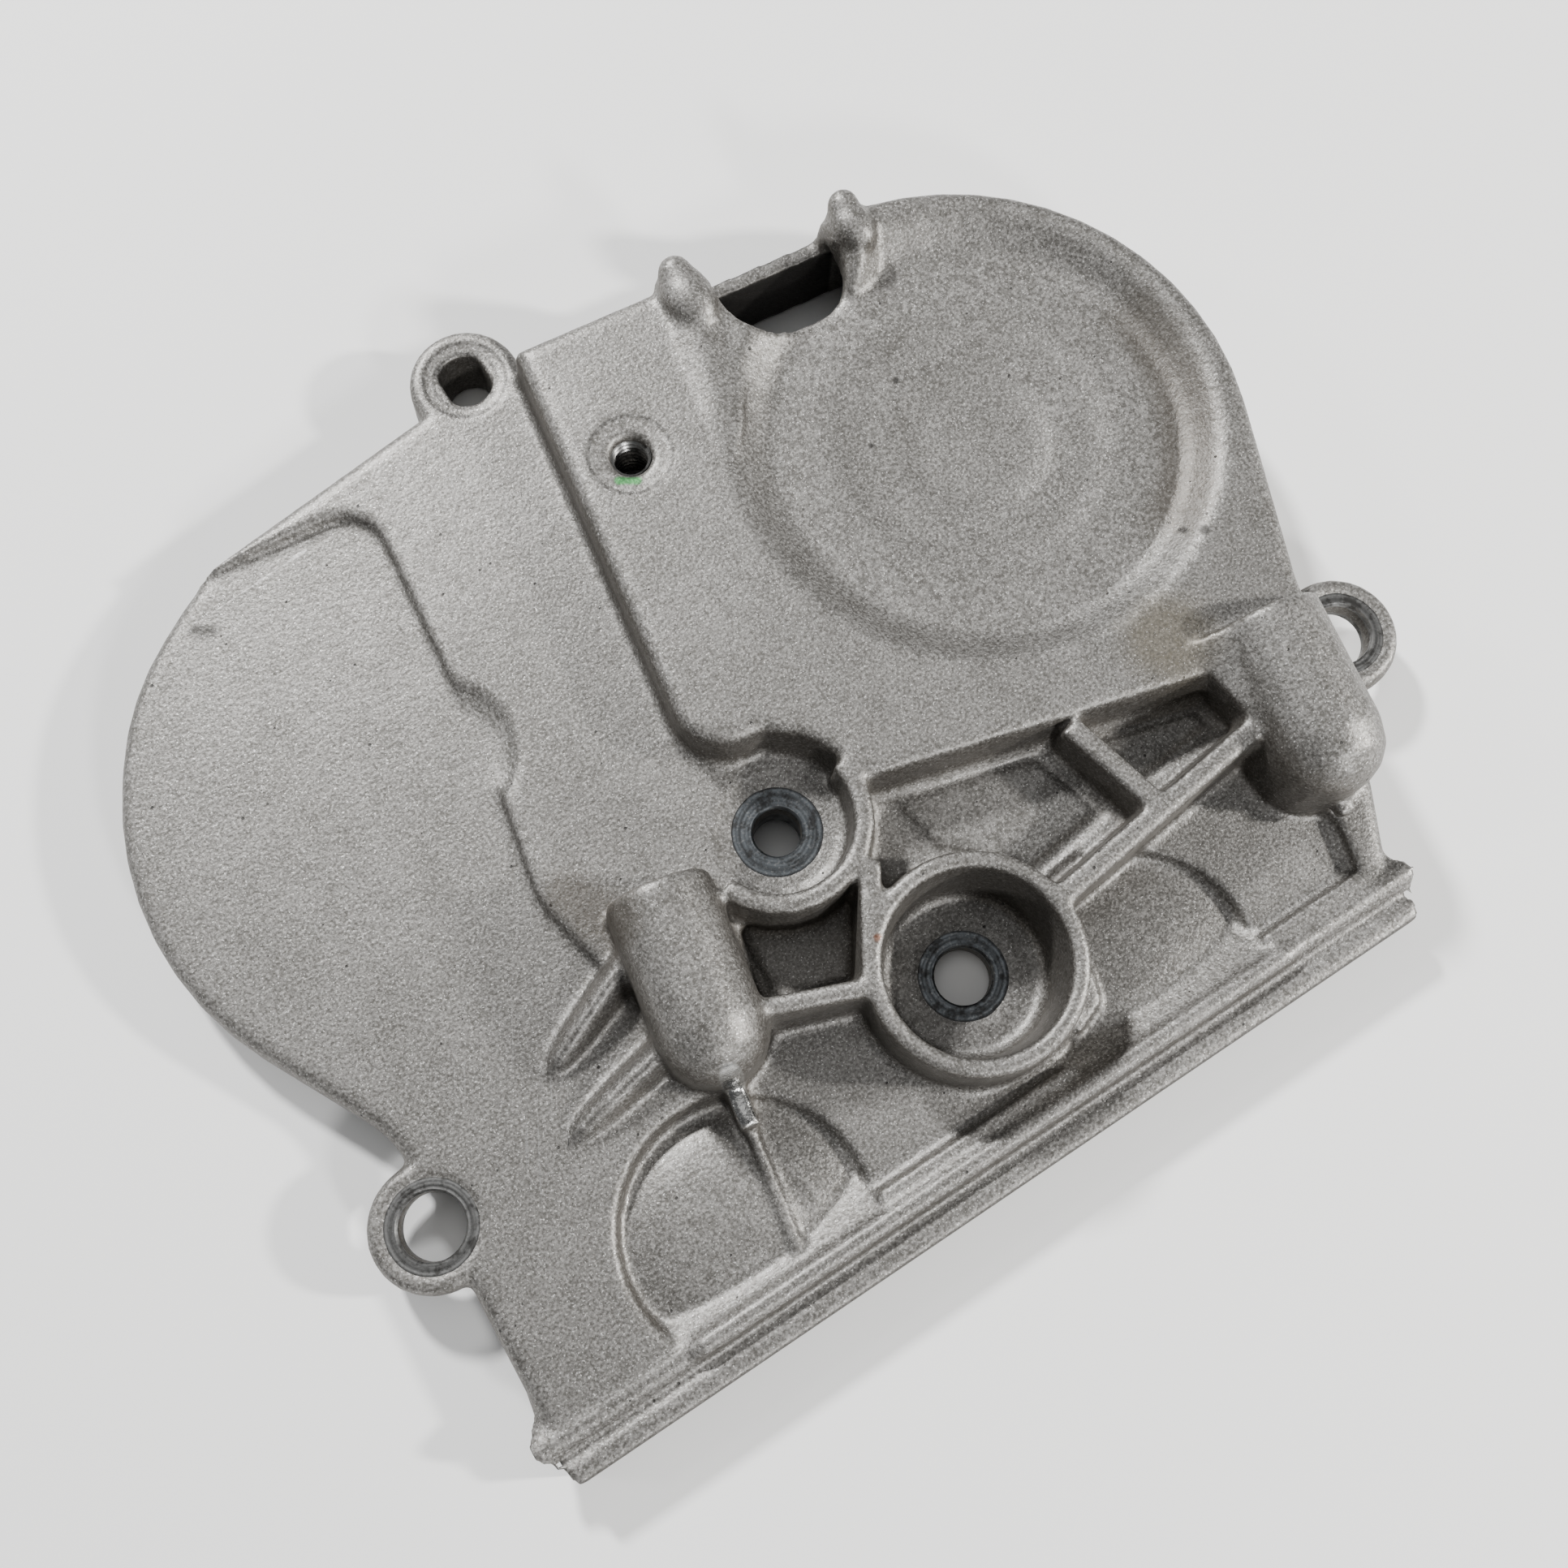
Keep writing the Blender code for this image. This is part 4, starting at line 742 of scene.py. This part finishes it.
@dataclass
class CastBody:
    """The casting itself: the CAD solid with the soft edges and fillets of a real casting."""

    voxel: float = 0.6
    fillet_rounds: int = 9
    triangles: int = 185000
    reach: float = 14.0
    rays: int = 20
    dish_reach: float = 35.0
    dish_low: float = 14.0

    def build(self) -> bpy.types.Object:
        """Make the casting's skin from the CAD node.

        Returns:
            The skin, which stands for the CAD node.
        """
        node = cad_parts["timing_cover"]
        skin = bpy.data.objects.new("cast_body", node.data.copy())
        bpy.context.scene.collection.objects.link(skin)
        only(skin)
        bpy.ops.object.mode_set(mode="EDIT")
        bpy.ops.mesh.select_all(action="SELECT")
        bpy.ops.mesh.remove_doubles(threshold=0.002 * MM)
        bpy.ops.object.mode_set(mode="OBJECT")
        masses = CastDetails().build()
        only(skin)
        for item in masses:
            item.select_set(True)
        bpy.ops.object.join()
        self.soften(skin)
        self.measure(skin)
        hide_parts("timing_cover")
        return skin

    def soften(self, skin: bpy.types.Object) -> None:
        """Round every corner a little, as sand and blasting leave it.

        Args:
            skin: The copy of the CAD solid.
        """
        remesh = skin.modifiers.new("even_skin", "REMESH")
        remesh.mode = "VOXEL"
        remesh.voxel_size = self.voxel * MM
        smooth = skin.modifiers.new("cast_fillets", "SMOOTH")
        smooth.factor = 0.5
        smooth.iterations = self.fillet_rounds
        apply_all(skin)
        self.soften_dish(skin)
        faces = sum(len(p.vertices) - 2 for p in skin.data.polygons)
        thin = skin.modifiers.new("fewer_faces", "DECIMATE")
        thin.ratio = min(1.0, self.triangles / faces)
        apply_all(skin)
        bpy.ops.object.shade_smooth()
        LOG.info("casting skin: %d faces before thinning, %d after", faces, len(skin.data.polygons))

    def soften_dish(self, skin: bpy.types.Object) -> None:
        """Wear the shallow steps in the dish until they are only just seen.

        Args:
            skin: The skin, already remeshed.
        """
        middle = place(63.4, 109.4, 0.0)
        group = skin.vertex_groups.new(name="dish")
        for index, point in enumerate(skin.data.vertices):
            far = math.hypot(point.co.x - middle.x, point.co.y - middle.y) / MM
            if far < self.dish_reach and point.co.z > self.dish_low * MM and point.normal.z > 0.0:
                group.add([index], min(1.0, (self.dish_reach - far) / 3.0), "REPLACE")
        smooth = skin.modifiers.new("dish_wear", "SMOOTH")
        smooth.factor = 0.5
        smooth.iterations = 70
        smooth.vertex_group = "dish"
        apply_all(skin)

    def measure(self, skin: bpy.types.Object) -> None:
        """Store how shut in and how sharp the skin is at each point, for its finish.

        Args:
            skin: The finished skin.
        """
        mesh = skin.data
        count = len(mesh.vertices)
        points = np.empty(count * 3, np.float32)
        mesh.vertices.foreach_get("co", points)
        points = points.reshape(-1, 3)
        normals = np.array([v.normal[:] for v in mesh.vertices], np.float32)
        lines = np.empty(len(mesh.edges) * 2, np.int32)
        mesh.edges.foreach_get("vertices", lines)
        lines = lines.reshape(-1, 2)
        gap = points[lines[:, 1]] - points[lines[:, 0]]
        bend = ((normals[lines[:, 1]] - normals[lines[:, 0]]) * gap).sum(1) / np.maximum((gap ** 2).sum(1), 1e-12)
        edge = self.spread(bend, lines, count) * MM
        for _ in range(3):
            edge = self.spread(edge[lines].mean(1), lines, count)
        closed = self.shut_in(mesh, points, normals)
        for _ in range(2):
            closed = self.spread(closed[lines].mean(1), lines, count)
        for name, values in (("edge", edge), ("closed", closed)):
            layer = mesh.attributes.new(name, "FLOAT", "POINT")
            layer.data.foreach_set("value", values.astype(np.float32))

    def spread(self, values: np.ndarray, lines: np.ndarray, count: int) -> np.ndarray:
        """Average a value of the edges at their end points.

        Args:
            values: One value for each edge.
            lines: The two points of each edge.
            count: How many points there are.

        Returns:
            One value for each point.
        """
        total = np.bincount(lines.ravel(), np.repeat(values, 2), count)
        return total / np.maximum(np.bincount(lines.ravel(), minlength=count), 1)

    def shut_in(self, mesh: bpy.types.Mesh, points: np.ndarray, normals: np.ndarray) -> np.ndarray:
        """Find how much of the sky near walls hide at each point.

        Args:
            mesh: The skin's mesh.
            points: Its points.
            normals: The normal at each point.

        Returns:
            Nothing in the open and one in a narrow corner.
        """
        tree = BVHTree.FromPolygons([p[:] for p in points.tolist()], [p.vertices[:] for p in mesh.polygons])
        golden = math.pi * (3.0 - math.sqrt(5.0))
        ways = []
        for index in range(self.rays):
            height = 1.0 - (index + 0.5) / self.rays * 0.92
            width = math.sqrt(1.0 - height * height)
            ways.append((width * math.cos(golden * index), width * math.sin(golden * index), height))
        hidden = np.zeros(len(points))
        for index, (point, normal) in enumerate(zip(points.tolist(), normals.tolist())):
            up = Vector(normal)
            side = up.orthogonal().normalized()
            other = up.cross(side)
            start = Vector(point) + up * (0.15 * MM)
            blocked = 0.0
            for a, b, c in ways:
                hit = tree.ray_cast(start, side * a + other * b + up * c, self.reach * MM)
                if hit[3] is not None:
                    blocked += 1.0 - 0.6 * hit[3] / (self.reach * MM)
            hidden[index] = blocked / self.rays
        return hidden


@dataclass
class TurnedSeat:
    """A machined ring round a bolt hole, let into the casting."""

    name: str
    x: float
    y: float
    top: float
    outer: float
    bore: float
    depth: float
    chamfer: float = 0.35
    proud: float = 0.16
    skirt: float = 0.5
    sides: int = 96

    def build(self) -> bpy.types.Object:
        """Turn the ring and the wall of its hole.

        Returns:
            The ring.
        """
        middle = place(self.x, self.y, self.top + self.proud - self.skirt / 2)
        bpy.ops.object.select_all(action="DESELECT")
        bpy.ops.mesh.primitive_cylinder_add(
            vertices=self.sides, radius=self.outer * MM, depth=self.skirt * MM, location=middle)
        ring = bpy.context.object
        bpy.ops.object.mode_set(mode="EDIT")
        pick(ring, Part.FACES, lambda middle, normal: normal.z > 0.9)
        bpy.ops.mesh.inset(thickness=(self.outer - self.bore - self.chamfer) * MM, depth=0.0)
        bpy.ops.mesh.inset(thickness=self.chamfer * MM, depth=-self.chamfer * MM)
        drop = self.depth - self.chamfer
        bpy.ops.mesh.extrude_region_move(TRANSFORM_OT_translate={"value": (0.0, 0.0, -drop * MM)})
        bpy.ops.mesh.delete(type="FACE")
        pick(ring, Part.FACES, lambda middle, normal: normal.z < -0.9)
        self.hollow(ring)
        settle(ring, self.name)
        bpy.ops.object.shade_smooth_by_angle(angle=math.radians(30.0))
        return ring

    def hollow(self, ring: bpy.types.Object) -> None:
        """Give the wall of the hole its back and close the ring below.

        Args:
            ring: The ring in edit mode, with its lower face selected.
        """
        bpy.ops.mesh.inset(thickness=(self.outer - self.bore - 0.3) * MM, depth=0.0)
        drop = self.depth - self.skirt
        bpy.ops.mesh.extrude_region_move(TRANSFORM_OT_translate={"value": (0.0, 0.0, -drop * MM)})
        bpy.ops.mesh.delete(type="FACE")
        bottom = -self.depth * MM + self.skirt / 2 * MM + 0.02 * MM
        pick(ring, Part.EDGES, lambda middle, normal: middle.z < bottom)
        bpy.ops.mesh.bridge_edge_loops()
        bpy.ops.mesh.select_all(action="SELECT")
        bpy.ops.mesh.normals_make_consistent(inside=False)
        bpy.ops.object.mode_set(mode="OBJECT")


@dataclass
class HoleThread:
    """The thread in the tapped hole, as one winding ridge."""

    x: float = 9.9
    y: float = 136.2
    top: float = 20.7
    radius: float = 3.42
    height: float = 0.5
    pitch: float = 1.25
    turns: int = 8

    def build(self) -> bpy.types.Object:
        """Wind the ridge round the wall of the hole.

        Returns:
            The ridge.
        """
        bpy.ops.object.select_all(action="DESELECT")
        start = place(self.x, self.y, self.top - self.pitch * self.turns)
        bpy.ops.mesh.primitive_circle_add(vertices=3, radius=self.height * MM, fill_type="NGON", location=(0, 0, 0))
        ridge = bpy.context.object
        bpy.ops.object.mode_set(mode="EDIT")
        bpy.ops.mesh.select_all(action="SELECT")
        mesh = bmesh.from_edit_mesh(ridge.data)
        for point, (out, up) in zip(mesh.verts, ((0.0, -0.55), (0.0, 0.55), (-1.0, 0.0))):
            point.co = Vector(((self.radius + 0.08 + out * self.height) * MM, 0.0, up * MM))
        bmesh.update_edit_mesh(ridge.data)
        bpy.ops.object.mode_set(mode="OBJECT")
        screw = ridge.modifiers.new("winding", "SCREW")
        screw.screw_offset = self.pitch * MM
        screw.iterations = self.turns
        screw.steps = 40
        screw.render_steps = 40
        screw.use_normal_calculate = True
        apply_all(ridge)
        bpy.ops.object.mode_set(mode="EDIT")
        bpy.ops.mesh.select_all(action="SELECT")
        bpy.ops.mesh.remove_doubles(threshold=0.001 * MM)
        bpy.ops.mesh.normals_make_consistent(inside=False)
        bpy.ops.transform.translate(value=start)
        bpy.ops.object.mode_set(mode="OBJECT")
        settle(ridge, "tapped_thread")
        bpy.ops.object.shade_smooth_by_angle(angle=math.radians(40.0))
        return ridge


@dataclass
class Lamp:
    """One soft lamp, given by where it stands round the cover."""

    name: str
    azimuth: float
    elevation: float
    distance: float
    size: float
    power: float
    colour: tuple = (1.0, 1.0, 1.0)

    def build(self) -> bpy.types.Object:
        """Hang the lamp and point it at the cover.

        Returns:
            The lamp.
        """
        data = bpy.data.lights.new(self.name, "AREA")
        data.shape = "DISK"
        data.size = self.size
        data.energy = self.power
        data.color = self.colour
        turn, lift = math.radians(self.azimuth), math.radians(self.elevation)
        way = Vector((math.cos(turn) * math.cos(lift), math.sin(turn) * math.cos(lift), math.sin(lift)))
        lamp = bpy.data.objects.new(self.name, data)
        bpy.context.scene.collection.objects.link(lamp)
        lamp.location = way * self.distance
        lamp.rotation_euler = way.to_track_quat("Z", "Y").to_euler()
        return lamp


@dataclass
class Studio:
    """The floor, the lamps and the camera, none of them part of the cover."""

    floor_size: float = 6.0
    sky: tuple = (0.95, 0.97, 1.0)
    sky_power: float = 0.13

    def build(self) -> None:
        """Set up the floor, the lamps, the sky and the camera."""
        self.floor()
        lamps = (
            Lamp("lamp_overhead", 80.0, 78.0, 1.2, 0.9, 2.2),
            Lamp("lamp_right", -36.0, 30.0, 1.1, 0.08, 18.0, (1.0, 0.985, 0.96)),
            Lamp("lamp_lower_right", -88.0, 32.0, 1.2, 0.16, 9.0),
            Lamp("lamp_upper_left", 94.0, 40.0, 1.2, 0.13, 25.0),
            Lamp("lamp_left", 147.0, 35.0, 1.3, 0.2, 2.5),
        )
        for lamp in lamps:
            lamp.build()
        world = bpy.data.worlds.new("studio")
        world.use_nodes = True
        background = world.node_tree.nodes["Background"]
        background.inputs["Color"].default_value = (*self.sky, 1.0)
        background.inputs["Strength"].default_value = self.sky_power
        bpy.context.scene.world = world
        self.camera()

    def floor(self) -> None:
        """Lay the floor."""
        bpy.ops.object.select_all(action="DESELECT")
        bpy.ops.mesh.primitive_plane_add(size=self.floor_size, location=(0.0, 0.0, 0.0))
        sheet = settle(bpy.context.object, "floor")
        sheet.data.materials.append(PalePaper().material())

    def camera(self) -> None:
        """Set the camera where the photograph was taken from."""
        data = bpy.data.cameras.new("camera")
        data.lens = 36.0
        data.sensor_width = 36.0
        data.clip_start = 0.01
        data.clip_end = 50.0
        camera = bpy.data.objects.new("camera", data)
        bpy.context.scene.collection.objects.link(camera)
        camera.location = (-0.04424, -0.06585, 0.26618)
        camera.rotation_euler = Euler([math.radians(a) for a in (14.482, -1.464, -32.587)], "XYZ")
        bpy.context.scene.camera = camera


def seats() -> list[tuple[TurnedSeat, TurnedFace]]:
    """The machined rings of the cover, each with its finish.

    Returns:
        One pair for each ring.
    """
    blue = (0.075, 0.082, 0.088)
    grey = (0.14, 0.14, 0.137)
    return [
        (TurnedSeat("well_ring", -2.9, 69.3, 11.6, 8.0, 4.1, 9.0), TurnedFace((-2.9, 69.3), blue)),
        (TurnedSeat("tube_ring", 11.2, 33.1, 4.3, 8.1, 4.9, 3.9), TurnedFace((11.2, 33.1), blue)),
        (TurnedSeat("ear_left_ring", -82.4, 45.1, 10.0, 8.1, 5.4, 4.8), TurnedFace((-82.4, 45.1), grey)),
        (TurnedSeat("ear_right_ring", 99.6, 47.0, 10.0, 8.1, 5.4, 4.8), TurnedFace((99.6, 47.0), grey)),
    ]


def main() -> None:
    """Build the cover's visual model piece by piece, then the studio round it."""
    logging.basicConfig(level=logging.INFO, format="%(name)s: %(message)s")
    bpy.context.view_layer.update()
    skin = CastBody().build()
    dress(skin, BlastedCasting().material())
    LOG.info("cast_body dressed")
    for seat, finish in seats():
        ring = seat.build()
        dress(ring, finish.material(seat.name + "_finish"))
        LOG.info("%s turned", seat.name)
    thread = HoleThread().build()
    dress(thread, TurnedFace((9.9, 136.2), (0.2, 0.2, 0.195), 0.3).material("thread_finish"))
    LOG.info("tapped_thread wound")
    Studio().build()


if __name__ == "__main__":
    main()
